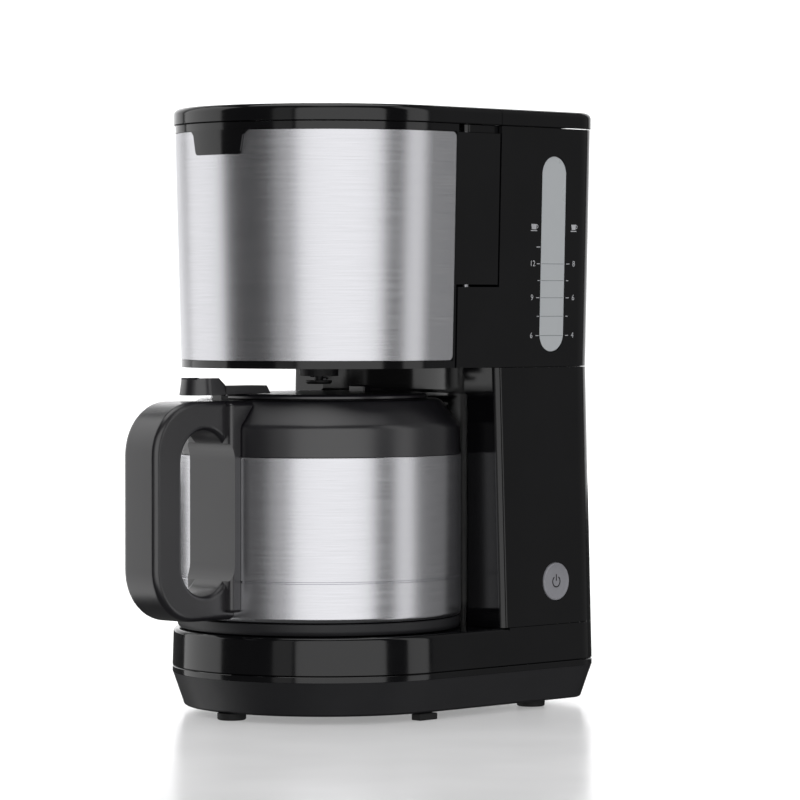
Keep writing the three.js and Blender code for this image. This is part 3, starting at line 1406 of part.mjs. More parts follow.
function thumbLever() {
  const low = LEVER_LOW;
  const back = leverFrontY + LEVER_LENGTH;
  const padTop = low + LEVER_PAD_HEIGHT;
  const armTop = low + LEVER_ARM_HEIGHT;
  // The pad slopes down to the arm, and the arm ends in a slope.
  const profile = [
    [leverFrontY - 1, low],
    [back, low + LEVER_LIFT],
    [back - 3, armTop],
    [leverFrontY + LEVER_PAD + 5, armTop],
    [leverFrontY + LEVER_PAD + 2.5, armTop + 1.5],
    [leverFrontY + LEVER_PAD, padTop],
    [leverFrontY - 1, padTop],
  ];
  const slotHalf = LUG_WIDTH / 2 + GAP;
  const reach = LUG_RADIUS + RUN;
  const body = loft([leverPlan(0, low - 1), leverPlan(LEVER_DRAFT, padTop + 1)]);
  return cut(
    body.intersect(sideShape(profile, -LEVER_WIDTH, LEVER_WIDTH)),
    rod(-pinHalf - GAP, pinHalf + GAP, pivotY, pivotZ, LEVER_PIN + RUN, 12),
    rod(-slotHalf, slotHalf, pivotY, pivotZ, reach, 12),
    block([-slotHalf, pivotY - reach - 1, low - 1], [slotHalf, pivotY + reach + 1, pivotZ]),
  );
}
node("thumb_lever", carafe, thumbLever(), CHARCOAL);

export default machine;
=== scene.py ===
"""Drip coffee maker with an insulated carafe: visible surfaces, finishes, light and camera.

All sizes are millimetres in the machine's own frame (front at -Y, +Z up) and are turned into
metres once, where a mesh is made. Each sub-assembly is a class that builds and dresses its pieces.
"""

import logging
import math
from dataclasses import dataclass, field
from enum import Enum
from typing import Callable, Iterable, Sequence

import bmesh
import bpy
from mathutils import Matrix, Vector


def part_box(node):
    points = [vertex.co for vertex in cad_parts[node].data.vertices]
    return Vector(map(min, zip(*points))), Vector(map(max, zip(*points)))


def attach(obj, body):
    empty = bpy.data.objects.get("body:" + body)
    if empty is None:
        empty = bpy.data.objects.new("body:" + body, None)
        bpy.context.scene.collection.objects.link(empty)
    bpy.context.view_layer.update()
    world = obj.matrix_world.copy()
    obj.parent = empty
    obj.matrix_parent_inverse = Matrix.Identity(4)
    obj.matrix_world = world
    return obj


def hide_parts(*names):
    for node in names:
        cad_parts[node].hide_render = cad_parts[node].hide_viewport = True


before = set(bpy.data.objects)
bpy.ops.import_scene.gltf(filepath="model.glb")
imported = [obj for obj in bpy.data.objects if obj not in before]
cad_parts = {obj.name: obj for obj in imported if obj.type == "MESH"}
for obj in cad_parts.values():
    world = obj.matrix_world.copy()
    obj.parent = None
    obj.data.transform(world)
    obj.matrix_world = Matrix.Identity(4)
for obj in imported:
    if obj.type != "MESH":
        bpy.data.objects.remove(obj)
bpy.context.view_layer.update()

log = logging.getLogger("coffee_maker")
MM = 0.001
Point = tuple[float, float, float]
Ring = list[Point]


class Body(Enum):
    """Moving bodies a piece can ride on."""

    CHASSIS = "chassis"
    TANK_LID = "tank_lid"
    HOLDER = "filter_holder"
    BUTTON = "power_button"
    CARAFE = "carafe"
    CARAFE_LID = "carafe_lid"
    LEVER = "thumb_lever"


@dataclass(frozen=True)
class Sizes:
    """Shared sizes of the machine in millimetres."""

    radius: float = 86.5
    back: float = 142.5
    corner: float = 22.0
    neck_in: float = 5.1
    top_in: float = 1.7
    pan_low: float = 4.0
    skirt_top: float = 23.0
    pan_top: float = 26.4
    deck_low: float = 26.7
    deck_top: float = 47.7
    head_low: float = 194.0
    head_top: float = 328.9
    lid_low: float = 329.3
    lid_top: float = 338.7
    wall: float = 2.4
    tank_front: float = 60.5
    tank_floor: float = 204.0
    holder_end: float = 19.6
    leaf_end: float = 53.3
    leaf_low: float = 240.3
    side_top: float = 238.9
    hinge_x: float = 78.4
    hinge_y: float = 31.5
    column_low: float = 48.0
    column_top: float = 193.7
    lug_x: float = 38.0
    lid_pin_y: float = 139.5
    lid_pin_z: float = 332.5
    carafe_y: float = -5.5
    carafe_radius: float = 80.1

    def setback(self, z: float) -> float:
        """Distance of each side in from the deck's edge at height z."""
        if z <= self.head_low:
            return self.neck_in * (z - self.deck_low) / (self.head_low - self.deck_low)
        rise = (z - self.head_low) / (self.head_top - self.head_low)
        return self.neck_in + (self.top_in - self.neck_in) * rise


SIZES = Sizes()
# Reach of cutting pieces past the whole machine.
FAR = 400.0
# Sockets of the colour mix node, which has no names of its own for them.
MIX_LOW, MIX_HIGH, MIX_OUT = 6, 7, 2


# ------------------------------------------------------------------ meshes


def arc_points(
    cx: float, cy: float, radius: float, start: float, end: float, steps: int
) -> list[tuple[float, float]]:
    """Points on an arc.

    Args:
        cx, cy: centre.
        radius: radius of the arc.
        start, end: angles in degrees.
        steps: number of steps.

    Returns:
        steps + 1 points from start to end.
    """
    points = []
    for i in range(steps + 1):
        angle = math.radians(start + (end - start) * i / steps)
        points.append((cx + radius * math.cos(angle), cy + radius * math.sin(angle)))
    return points


def rounded_polygon(
    corners: Sequence[tuple[float, float, float]], steps: int = 8
) -> list[tuple[float, float]]:
    """Polygon with each corner rounded by its own radius.

    Args:
        corners: (x, y, radius) in anticlockwise order.
        steps: steps in each rounded corner.

    Returns:
        Points of the rounded outline, anticlockwise.
    """
    points: list[tuple[float, float]] = []
    count = len(corners)
    for i, (x, y, radius) in enumerate(corners):
        here = Vector((x, y))
        before = Vector(corners[i - 1][:2])
        after = Vector(corners[(i + 1) % count][:2])
        to_before, to_after = (before - here).normalized(), (after - here).normalized()
        angle = to_before.angle(to_after)
        if radius <= 0 or angle > math.pi - 1e-3:
            points.append((x, y))
            continue
        reach = radius / math.tan(angle / 2)
        start, end = here + to_before * reach, here + to_after * reach
        centre = here + (to_before + to_after).normalized() * (radius / math.sin(angle / 2))
        a0, a1 = (start - centre), (end - centre)
        turn = a0.angle_signed(a1) * -1
        for k in range(steps + 1):
            part = turn * k / steps
            c, s = math.cos(part), math.sin(part)
            points.append((centre.x + a0.x * c - a0.y * s, centre.y + a0.x * s + a0.y * c))
    return points


def plan(side: float, rear: float, z: float, front: float | None = None) -> Ring:
    """Plan outline of the body at height z, drawn in at the sides and the rear.

    Args:
        side: how far the sides are drawn in.
        rear: how far the back is drawn in.
        z: height.
        front: a straight front edge at this Y, or None for the full round front.

    Returns:
        Ring of points, anticlockwise from above.
    """
    half, back = SIZES.radius - side, SIZES.back - rear
    corner = max(SIZES.corner - rear, 1.0)
    if front is None:
        points = arc_points(0, 0, half, 180, 360, 96)
    else:
        points = [(-half, front), (half, front)]
    points += arc_points(half - corner, back - corner, corner, 0, 90, 14)
    points += arc_points(-half + corner, back - corner, corner, 90, 180, 14)
    return [(x, y, z) for x, y in points]


class Solid:
    """A closed mesh in millimetres that can be cut, joined and shaded."""

    def __init__(self, name: str, vertices: Iterable[Point], faces: Iterable[Sequence[int]]) -> None:
        """Makes the object in the scene.

        Args:
            name: object name.
            vertices: points in millimetres.
            faces: vertex indices of each face.
        """
        mesh = bpy.data.meshes.new(name)
        mesh.from_pydata([tuple(c * MM for c in v) for v in vertices], [], [tuple(f) for f in faces])
        work = bmesh.new()
        work.from_mesh(mesh)
        bmesh.ops.remove_doubles(work, verts=work.verts, dist=1e-6)
        bmesh.ops.recalc_face_normals(work, faces=work.faces)
        work.to_mesh(mesh)
        work.free()
        self.object = bpy.data.objects.new(name, mesh)
        bpy.context.scene.collection.objects.link(self.object)

    def _combine(self, other: "Solid", operation: str) -> "Solid":
        """Applies one boolean with other and removes other."""
        modifier = self.object.modifiers.new("combine", "BOOLEAN")
        modifier.operation, modifier.object, modifier.solver = operation, other.object, "MANIFOLD"
        self._bake()
        bpy.data.objects.remove(other.object)
        return self

    def _bake(self) -> None:
        """Applies the modifiers to the mesh."""
        graph = bpy.context.evaluated_depsgraph_get()
        made = bpy.data.meshes.new_from_object(self.object.evaluated_get(graph))
        old = self.object.data
        self.object.modifiers.clear()
        self.object.data = made
        bpy.data.meshes.remove(old)
        made.name = self.object.name

    def cut(self, *others: "Solid") -> "Solid":
        """Cuts the others away."""
        for other in others:
            self._combine(other, "DIFFERENCE")
        return self

    def join(self, *others: "Solid") -> "Solid":
        """Joins the others on."""
        for other in others:
            self._combine(other, "UNION")
        return self

    def keep(self, other: "Solid") -> "Solid":
        """Keeps what lies inside the other."""
        return self._combine(other, "INTERSECT")

    def soften(self, width: float, segments: int = 3, angle: float = 40.0) -> "Solid":
        """Rounds edges sharper than angle.

        Args:
            width: bevel width in millimetres.
            segments: steps in the rounding.
            angle: smallest edge angle in degrees that is rounded.

        Returns:
            This solid.
        """
        modifier = self.object.modifiers.new("soften", "BEVEL")
        modifier.width, modifier.segments = width * MM, segments
        modifier.limit_method, modifier.angle_limit = "ANGLE", math.radians(angle)
        modifier.use_clamp_overlap = True
        modifier.miter_outer = "MITER_ARC"
        self._bake()
        return self

    def shade(self, angle: float = 32.0) -> "Solid":
        """Smooth shading, with edges sharper than angle kept crisp and flat faces kept flat."""
        mesh = self.object.data
        mesh.shade_smooth()
        mesh.set_sharp_from_angle(angle=math.radians(angle))
        modifier = self.object.modifiers.new("shade", "WEIGHTED_NORMAL")
        modifier.keep_sharp, modifier.weight = True, 80
        self._bake()
        return self

    def move(self, x: float, y: float, z: float) -> "Solid":
        """Moves the mesh by millimetres."""
        self.object.data.transform(Matrix.Translation((x * MM, y * MM, z * MM)))
        return self

    def dress(
        self, material: bpy.types.Material, body: Body, slot: str, replaces: Sequence[str] = ()
    ) -> "Solid":
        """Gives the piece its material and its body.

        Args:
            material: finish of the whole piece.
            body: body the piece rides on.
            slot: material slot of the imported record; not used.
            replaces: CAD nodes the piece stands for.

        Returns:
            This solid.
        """
        self.object.data.materials.clear()
        self.object.data.materials.append(material)
        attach(self.object, body.value)
        if replaces:
            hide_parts(*replaces)
        log.info("built %s", self.object.name)
        return self


def loft(name: str, rings: Sequence[Ring]) -> Solid:
    """Closed solid through rings with the same number of points.

    Args:
        name: object name.
        rings: outlines from the bottom up, each anticlockwise from above.

    Returns:
        The solid, with its first and last ring closed by flat faces.
    """
    count = len(rings[0])
    vertices = [point for ring in rings for point in ring]
    faces: list[Sequence[int]] = []
    for row in range(len(rings) - 1):
        for i in range(count):
            j = (i + 1) % count
            a, b = row * count + i, row * count + j
            faces.append((a, b, b + count, a + count))
    faces.append(tuple(range(count))[::-1])
    faces.append(tuple((len(rings) - 1) * count + i for i in range(count)))
    return Solid(name, vertices, faces)


def turned(
    name: str, profile: Sequence[tuple[float, float]], steps: int = 128, axis_y: float = 0.0
) -> Solid:
    """Turned solid about an upright axis.

    Args:
        name: object name.
        profile: closed (radius, z) profile; points at radius 0 lie on the axis.
        steps: steps round the axis.
        axis_y: Y of the axis.

    Returns:
        The solid.
    """
    rings = []
    for i in range(steps):
        c, s = math.cos(2 * math.pi * i / steps), math.sin(2 * math.pi * i / steps)
        rings.append([(r * c, axis_y + r * s, z) for r, z in profile])
    count = len(profile)
    vertices = [point for ring in rings for point in ring]
    faces = []
    for i in range(steps):
        j = (i + 1) % steps
        for k in range(count):
            m = (k + 1) % count
            if profile[k][0] == 0 and profile[m][0] == 0:
                continue
            quad = [i * count + k, j * count + k, j * count + m, i * count + m]
            if profile[k][0] == 0:
                quad = [quad[0], quad[2], quad[3]]
            elif profile[m][0] == 0:
                quad = [quad[0], quad[1], quad[2]]
            faces.append(quad)
    return Solid(name, vertices, faces)


def block(name: str, low: Point, high: Point) -> Solid:
    """Box between two corners."""
    (x0, y0, z0), (x1, y1, z1) = low, high
    low_ring = [(x0, y0, z0), (x1, y0, z0), (x1, y1, z0), (x0, y1, z0)]
    return loft(name, [low_ring, [(x, y, z1) for x, y, _ in low_ring]])


def extrude(
    name: str, outline: Sequence[tuple[float, float]], start: float, end: float, along: str = "X"
) -> Solid:
    """Flat outline extruded along one axis.

    Args:
        name: object name.
        outline: (y, z) points for X, (x, z) points for Y.
        start, end: extent along the axis.
        along: "X" or "Y".

    Returns:
        The solid.
    """
    place: dict[str, Callable[[float, float, float], Point]] = {
        "X": lambda u, v, w: (w, u, v),
        "Y": lambda u, v, w: (u, w, v),
    }
    put = place[along]
    return loft(name, [[put(u, v, start) for u, v in outline], [put(u, v, end) for u, v in outline]])


def rod(name: str, low: Point, high: Point, radius: float, steps: int = 48) -> Solid:
    """Cylinder between two points.

    Args:
        name: object name.
        low, high: middles of its two ends.
        radius: radius of the cylinder.
        steps: steps round the axis.

    Returns:
        The solid.
    """
    axis = (Vector(high) - Vector(low)).normalized()
    side = axis.orthogonal().normalized()
    other = axis.cross(side)
    rings = []
    for end in (Vector(low), Vector(high)):
        ring = []
        for i in range(steps):
            angle = 2 * math.pi * i / steps
            ring.append(tuple(end + (side * math.cos(angle) + other * math.sin(angle)) * radius))
        rings.append(ring)
    return loft(name, rings)


def head_solid(name: str, low: float, high: float, inset: float) -> Solid:
    """Head outline as a solid.

    Args:
        name: object name.
        low, high: heights of its underside and its top.
        inset: how far it is drawn in all round; below 0 it stands out.

    Returns:
        The solid.
    """
    return loft(
        name,
        [
            plan(SIZES.setback(low) + inset, inset, low),
            plan(SIZES.setback(high) + inset, inset, high),
        ],
    )


# ------------------------------------------------------------------ finishes


def linear(code: str) -> tuple[float, float, float, float]:
    """An sRGB hex colour as linear RGBA."""
    parts = [int(code[i : i + 2], 16) / 255 for i in (1, 3, 5)]
    channels = [c / 12.92 if c <= 0.04045 else ((c + 0.055) / 1.055) ** 2.4 for c in parts]
    return (*channels, 1.0)


def add_node(
    tree: bpy.types.NodeTree, kind: str, settings: dict | None = None, links: dict | None = None
) -> bpy.types.Node:
    """Adds a shader node with its settings and links.

    Args:
        tree: node tree of the material.
        kind: node type.
        settings: attributes, or input names with their values.
        links: input name to output socket.

    Returns:
        The node.
    """
    made = tree.nodes.new(kind)
    for key, value in (settings or {}).items():
        if key in made.inputs:
            made.inputs[key].default_value = value
        else:
            setattr(made, key, value)
    for key, socket in (links or {}).items():
        tree.links.new(socket, made.inputs[key])
    return made


def ramp(
    tree: bpy.types.NodeTree, source: bpy.types.NodeSocket, low: float, high: float,
    start: float = 0.0, end: float = 1.0,
) -> bpy.types.NodeSocket:
    """Maps a pattern on to a range.

    Args:
        tree: node tree of the material.
        source: the pattern, from 0 to 1.
        low, high: ends of the range.
        start, end: pattern values that reach them.

    Returns:
        Socket of the mapped value.
    """
    made = add_node(
        tree,
        "ShaderNodeMapRange",
        {"From Min": start, "From Max": end, "To Min": low, "To Max": high},
        {"Value": source},
    )
    return made.outputs["Result"]


@dataclass(frozen=True)
class Plastic:
    """Injection-moulded plastic.

    The moulded grain gives the eye a fine broken highlight; the wave gives the slow waviness that
    moulded panels show in their reflections, and the smudge varies how sharp they are.
    """

    name: str
    color: str
    roughness: float
    grain_mm: float
    grain_height: float
    smudge: float
    waviness: float = 0.0
    coat: float = 0.0
    coat_roughness: float = 0.06

    def material(self) -> bpy.types.Material:
        """The node material."""
        made = bpy.data.materials.new(self.name)
        made.use_nodes = True
        tree = made.node_tree
        shader = tree.nodes["Principled BSDF"]
        space = add_node(tree, "ShaderNodeTexCoord").outputs["Object"]
        shader.inputs["IOR"].default_value = 1.5
        shader.inputs["Coat Weight"].default_value = self.coat
        shader.inputs["Coat Roughness"].default_value = self.coat_roughness
        smudges = add_node(
            tree,
            "ShaderNodeTexNoise",
            {"Scale": 1 / (38 * MM), "Detail": 4.0, "Roughness": 0.6},
            {"Vector": space},
        ).outputs["Fac"]
        fine = add_node(
            tree,
            "ShaderNodeTexNoise",
            {"Scale": 1 / (self.grain_mm * MM), "Detail": 2.0},
            {"Vector": space},
        ).outputs["Fac"]
        rough = ramp(
            tree, smudges, self.roughness - self.smudge, self.roughness + self.smudge, 0.3, 0.7
        )
        tree.links.new(rough, shader.inputs["Roughness"])
        tone = add_node(tree, "ShaderNodeMix", {"data_type": "RGBA"})
        base = linear(self.color)
        tone.inputs[MIX_LOW].default_value = tuple(c * 0.88 for c in base[:3]) + (1.0,)
        tone.inputs[MIX_HIGH].default_value = tuple(min(1.0, c * 1.12) for c in base[:3]) + (1.0,)
        tree.links.new(ramp(tree, smudges, 0.0, 1.0, 0.35, 0.65), tone.inputs[0])
        tree.links.new(tone.outputs[MIX_OUT], shader.inputs["Base Color"])
        grain = add_node(
            tree,
            "ShaderNodeBump",
            {"Strength": 1.0, "Distance": self.grain_height * MM},
            {"Height": fine},
        )
        normal = grain.outputs["Normal"]
        if self.waviness:
            slow = add_node(
                tree, "ShaderNodeTexNoise", {"Scale": 1 / (45 * MM), "Detail": 0.0}, {"Vector": space}
            ).outputs["Fac"]
            wave = add_node(
                tree,
                "ShaderNodeBump",
                {"Strength": 1.0, "Distance": self.waviness * MM},
                {"Height": slow, "Normal": normal},
            )
            normal = wave.outputs["Normal"]
        tree.links.new(normal, shader.inputs["Normal"])
        return made


@dataclass(frozen=True)
class BrushedSteel:
    """Stainless sheet brushed level round the body.

    Long streaks run round the axis, so highlights spread up and down and the sheet shows soft
    upright bands of light and dark with a fine level grain.
    """

    name: str
    color: str
    roughness: float
    line_mm: float
    line_height: float
    axis_y: float = 0.0

    def material(self) -> bpy.types.Material:
        """The node material."""
        made = bpy.data.materials.new(self.name)
        made.use_nodes = True
        tree = made.node_tree
        shader = tree.nodes["Principled BSDF"]
        space = add_node(tree, "ShaderNodeTexCoord").outputs["Object"]
        split = add_node(tree, "ShaderNodeSeparateXYZ", {}, {"Vector": space})
        shifted = add_node(
            tree, "ShaderNodeMath", {"operation": "SUBTRACT"}, {0: split.outputs["Y"]}
        )
        shifted.inputs[1].default_value = self.axis_y * MM
        around = add_node(
            tree, "ShaderNodeMath", {"operation": "ARCTAN2"}, {0: shifted.outputs[0], 1: split.outputs["X"]}
        )
        # One radian is about one body radius of length along the brushing.
        along = add_node(tree, "ShaderNodeMath", {"operation": "MULTIPLY"}, {0: around.outputs[0]})
        along.inputs[1].default_value = SIZES.radius * MM
        streak_place = add_node(
            tree, "ShaderNodeCombineXYZ", {}, {"X": along.outputs[0], "Z": split.outputs["Z"]}
        ).outputs["Vector"]
        streaks = []
        # Lines of two lengths; real lines are finer than line_mm, coarser here so that they show.
        for length, size in ((22.0, self.line_mm), (70.0, self.line_mm * 2.6)):
            scaled = add_node(tree, "ShaderNodeMapping", {}, {"Vector": streak_place})
            scaled.inputs["Scale"].default_value = (1 / (length * MM), 1.0, 1 / (size * MM))
            streaks.append(
                add_node(
                    tree,
                    "ShaderNodeTexNoise",
                    {"Scale": 1.0, "Detail": 3.0, "Roughness": 0.65},
                    {"Vector": scaled.outputs["Vector"]},
                ).outputs["Fac"]
            )
        mixed = add_node(
            tree, "ShaderNodeMath", {"operation": "ADD"}, {0: streaks[0], 1: streaks[1]}
        ).outputs[0]
        half = add_node(tree, "ShaderNodeMath", {"operation": "MULTIPLY"}, {0: mixed})
        half.inputs[1].default_value = 0.5
        lines = half.outputs[0]
        shader.inputs["Metallic"].default_value = 1.0
        shader.inputs["Anisotropic"].default_value = 0.7
        tone = add_node(tree, "ShaderNodeMix", {"data_type": "RGBA"})
        base = linear(self.color)
        tone.inputs[MIX_LOW].default_value = tuple(c * 0.92 for c in base[:3]) + (1.0,)
        tone.inputs[MIX_HIGH].default_value = tuple(min(1.0, c * 1.05) for c in base[:3]) + (1.0,)
        tree.links.new(ramp(tree, lines, 0.0, 1.0, 0.35, 0.65), tone.inputs[0])
        tree.links.new(tone.outputs[MIX_OUT], shader.inputs["Base Color"])
        tree.links.new(
            ramp(tree, lines, self.roughness * 0.88, self.roughness * 1.14, 0.3, 0.7),
            shader.inputs["Roughness"],
        )
        tangent = add_node(tree, "ShaderNodeTangent", {"direction_type": "RADIAL", "axis": "Z"})
        tree.links.new(tangent.outputs["Tangent"], shader.inputs["Tangent"])
        bump = add_node(
            tree,
            "ShaderNodeBump",
            {"Strength": 1.0, "Distance": self.line_height * MM},
            {"Height": lines},
        )
        tree.links.new(bump.outputs["Normal"], shader.inputs["Normal"])
        return made


@dataclass(frozen=True)
class ClearPlastic:
    """Frosted window plastic, which shows the empty tank behind it as pale grey."""

    name: str
    color: str
    roughness: float = 0.28

    def material(self) -> bpy.types.Material:
        """The node material."""
        made = bpy.data.materials.new(self.name)
        made.use_nodes = True
        tree = made.node_tree
        shader = tree.nodes["Principled BSDF"]
        space = add_node(tree, "ShaderNodeTexCoord").outputs["Object"]
        cloud = add_node(
            tree, "ShaderNodeTexNoise", {"Scale": 1 / (30 * MM), "Detail": 3.0}, {"Vector": space}
        ).outputs["Fac"]
        shader.inputs["Base Color"].default_value = linear(self.color)
        shader.inputs["IOR"].default_value = 1.49
        shader.inputs["Transmission Weight"].default_value = 0.1
        shader.inputs["Coat Weight"].default_value = 0.6
        tree.links.new(
            ramp(tree, cloud, self.roughness - 0.05, self.roughness + 0.07, 0.0, 1.0),
            shader.inputs["Roughness"],
        )
        return made


@dataclass
class Finishes:
    """Every finish of the machine, made once."""

    made: dict[str, bpy.types.Material] = field(default_factory=dict)

    # Polished ABS: deep black with soft broad reflections of the studio.
    GLOSS = Plastic("polished_black_abs", "#0d0d0f", 0.11, 0.6, 0.001, 0.03, 0.012)
    # Spark-eroded ABS on the skirt: dull, with an even fine sparkle.
    MATTE = Plastic("eroded_black_abs", "#1b1b1e", 0.5, 0.7, 0.02, 0.05)
    # Satin polypropylene of the carafe's top and handle: warm charcoal.
    CHARCOAL = Plastic(
        "satin_charcoal_polypropylene", "#1c1b1f", 0.34, 0.8, 0.012, 0.05, coat=0.9, coat_roughness=0.26
    )
    # Painted button cap: plain light grey.
    BUTTON = Plastic("painted_grey_abs", "#9a9aa0", 0.38, 0.7, 0.01, 0.04)
    # Soft moulded foot.
    RUBBER = Plastic("moulded_foot_rubber", "#131314", 0.75, 0.8, 0.04, 0.06)
    # Printed level marks.
    INK = Plastic("pad_printed_ink", "#c9cace", 0.5, 0.5, 0.002, 0.03)
    # Level lines printed on the pane itself: thin grey.
    PANE_INK = Plastic("pane_printed_ink", "#7d8287", 0.5, 0.5, 0.002, 0.03)
    # Hoses and seal.
    SILICONE = Plastic("extruded_silicone", "#cfccc2", 0.45, 1.2, 0.02, 0.06)
    # Switch, valve and thermostat housings.
    WHITE = Plastic("moulded_white_nylon", "#c9c8c2", 0.45, 1.0, 0.02, 0.05)
    # Circuit board.
    BOARD = Plastic("solder_masked_board", "#1f4a2d", 0.35, 1.5, 0.03, 0.05)
    # Holder's sheet: level brushing.
    PANEL = BrushedSteel("level_brushed_stainless", "#d2d2d6", 0.22, 0.35, 0.0016)
    # Carafe's wall: brushed round its own axis.
    CARAFE = BrushedSteel("spun_brushed_stainless", "#d2d2d6", 0.22, 0.35, 0.0016, SIZES.carafe_y)
    # Inner steel, pins and screws: satin.
    INNER = BrushedSteel("satin_stainless", "#a9a9ad", 0.34, 0.6, 0.008)
    # Heater's body.
    CAST = BrushedSteel("extruded_aluminium", "#b0b1b4", 0.45, 0.9, 0.02)
    # Water window.
    WINDOW = ClearPlastic("frosted_clear_acrylic", "#d9dde0")

    def get(self, recipe: Plastic | BrushedSteel | ClearPlastic) -> bpy.types.Material:
        """The material of a recipe."""
        if recipe.name not in self.made:
            self.made[recipe.name] = recipe.material()
        return self.made[recipe.name]


FINISHES = Finishes()


# ------------------------------------------------------------------ sub-assemblies


@dataclass
class Base:
    """Skirt, deck and feet."""

    skirt_in: float = 6.0
    edge: float = 2.4
    heel: float = 2.2
    rear_front: float = 60.0
    seat_line: tuple[float, float] = (82.0, 82.7)
    seat_depth: float = 0.45
    deck_hole: tuple[float, float, float] = (58.0, 92.0, 131.0)
    posts: tuple[tuple[float, float], ...] = (
        (-58.0, -12.0), (-58.0, 118.0), (58.0, -12.0), (58.0, 118.0)
    )
    post_radius: float = 5.0
    screw_hole: float = 2.3
    gland: tuple[float, float] = (-45.0, 16.1)
    gland_radius: float = 6.3
    foot_radius: float = 8.0
    foot_height: float = 3.7

    def build(self) -> None:
        """Builds and dresses the base."""
        self._skirt()
        self._deck()
        self._feet()

    def _skirt(self) -> None:
        """Tapered matte skirt with a narrow gloss band above it."""
        s, low = SIZES, SIZES.pan_low
        rings = []
        for i in range(7):
            angle = math.radians(90 * i / 6)
            inset = self.skirt_in + self.heel * (1 - math.sin(angle))
            rings.append(plan(inset, inset, low + self.heel * (1 - math.cos(angle))))
        rings.append(plan(0.25, 0.25, s.skirt_top - 0.3))
        rings.append(plan(0.05, 0.05, s.skirt_top))
        skirt = loft("base_skirt", rings)
        x, z = self.gland
        skirt.cut(
            loft(
                "skirt_room",
                [
                    plan(self.skirt_in + s.wall, self.skirt_in + s.wall, low + 2.6),
                    plan(s.wall, s.wall, s.skirt_top),
                    plan(s.wall, s.wall, s.skirt_top + 2),
                ],
            ),
            rod("gland_hole", (x, 120, z), (x, 150, z), self.gland_radius),
        )
        skirt.shade(28).dress(
            FINISHES.get(Finishes.MATTE), Body.CHASSIS, "matte_black", ("base_pan",)
        )
        band = loft(
            "base_band",
            [plan(0.05, 0.05, s.skirt_top + 0.05), plan(0, 0, s.skirt_top + 0.4),
             plan(0, 0, s.pan_top - 0.4), plan(0.35, 0.35, s.pan_top)],
        )
        band.cut(
            loft("band_room", [plan(s.wall, s.wall, 10), plan(s.wall, s.wall, 40)])
        )
        band.shade(40).dress(
            FINISHES.get(Finishes.GLOSS), Body.CHASSIS, "matte_black", ("base_pan",)
        )

    def _deck(self) -> None:
        """Gloss deck with a rounded top edge and a shallow ring where the carafe stands."""
        s = SIZES
        rings = [plan(0.35, 0.35, s.deck_low), plan(0, 0, s.deck_low + 0.4)]
        low = s.deck_top - self.edge
        rings.append(plan(s.setback(low), 0, low))
        for i in range(1, 9):
            angle = math.radians(90 * i / 8)
            inset = self.edge * (1 - math.cos(angle))
            z = low + self.edge * math.sin(angle)
            rings.append(plan(s.setback(z) + inset, inset, z))
        deck = loft("deck", rings)
        upright = loft(
            "deck_rear",
            [plan(0.35, 0.35, s.deck_low, self.rear_front),
             plan(0, 0, s.deck_low + 0.4, self.rear_front),
             plan(s.setback(s.deck_top), 0, s.deck_top, self.rear_front)],
        )
        deck.join(upright)
        (inner, outer), floor = self.seat_line, s.deck_top - self.seat_depth
        half, hole_front, hole_back = self.deck_hole
        deck.cut(
            loft("deck_room", [plan(s.wall, s.wall, 10), plan(4, 4, s.deck_top - s.wall)]),
            block("deck_hole", (-half, hole_front, 20), (half, hole_back, 60)),
            # Fine ring in the top, just outside the carafe's base.
            turned(
                "seat_line",
                [(inner, floor), (outer, floor), (outer, 49), (inner, 49)],
                160,
                s.carafe_y,
            ).keep(block("seat_front", (-90, -90, 40), (90, 50, 60))),
        )
        for x, y in self.posts:
            deck.join(rod("deck_post", (x, y, 11), (x, y, s.deck_top - 1), self.post_radius))
            deck.cut(rod("post_hole", (x, y, 9), (x, y, 25), self.screw_hole))
        deck.shade(35).dress(
            FINISHES.get(Finishes.GLOSS), Body.CHASSIS, "gloss_black", ("front_deck",)
        )

    def _feet(self) -> None:
        """Round feet at the front and rear and a block foot on each side."""
        places = {"front": (0.0, -73.5), "rear_left": (-66.0, 99.5), "rear_right": (66.0, 99.5)}
        rubber = FINISHES.get(Finishes.RUBBER)
        for name, (x, y) in places.items():
            r, top = self.foot_radius, self.foot_height
            profile = [(0, 0), (r - 1, 0), (r - 0.3, 0.3), (r, 1.0), (r, top), (0, top)]
            foot = turned(f"{name}_foot", profile, 64).move(x, y, 0)
            foot.shade(30).dress(rubber, Body.CHASSIS, "foot_rubber", (f"foot_{name}",))
        for name, side in (("left", -1), ("right", 1)):
            x0, x1 = sorted((side * 80.5, side * 73.5))
            foot = block(f"{name}_foot", (x0, -7, 0), (x1, 7, self.foot_height)).soften(0.7)
            foot.shade(40).dress(rubber, Body.CHASSIS, "foot_rubber", (f"foot_side_{name}",))


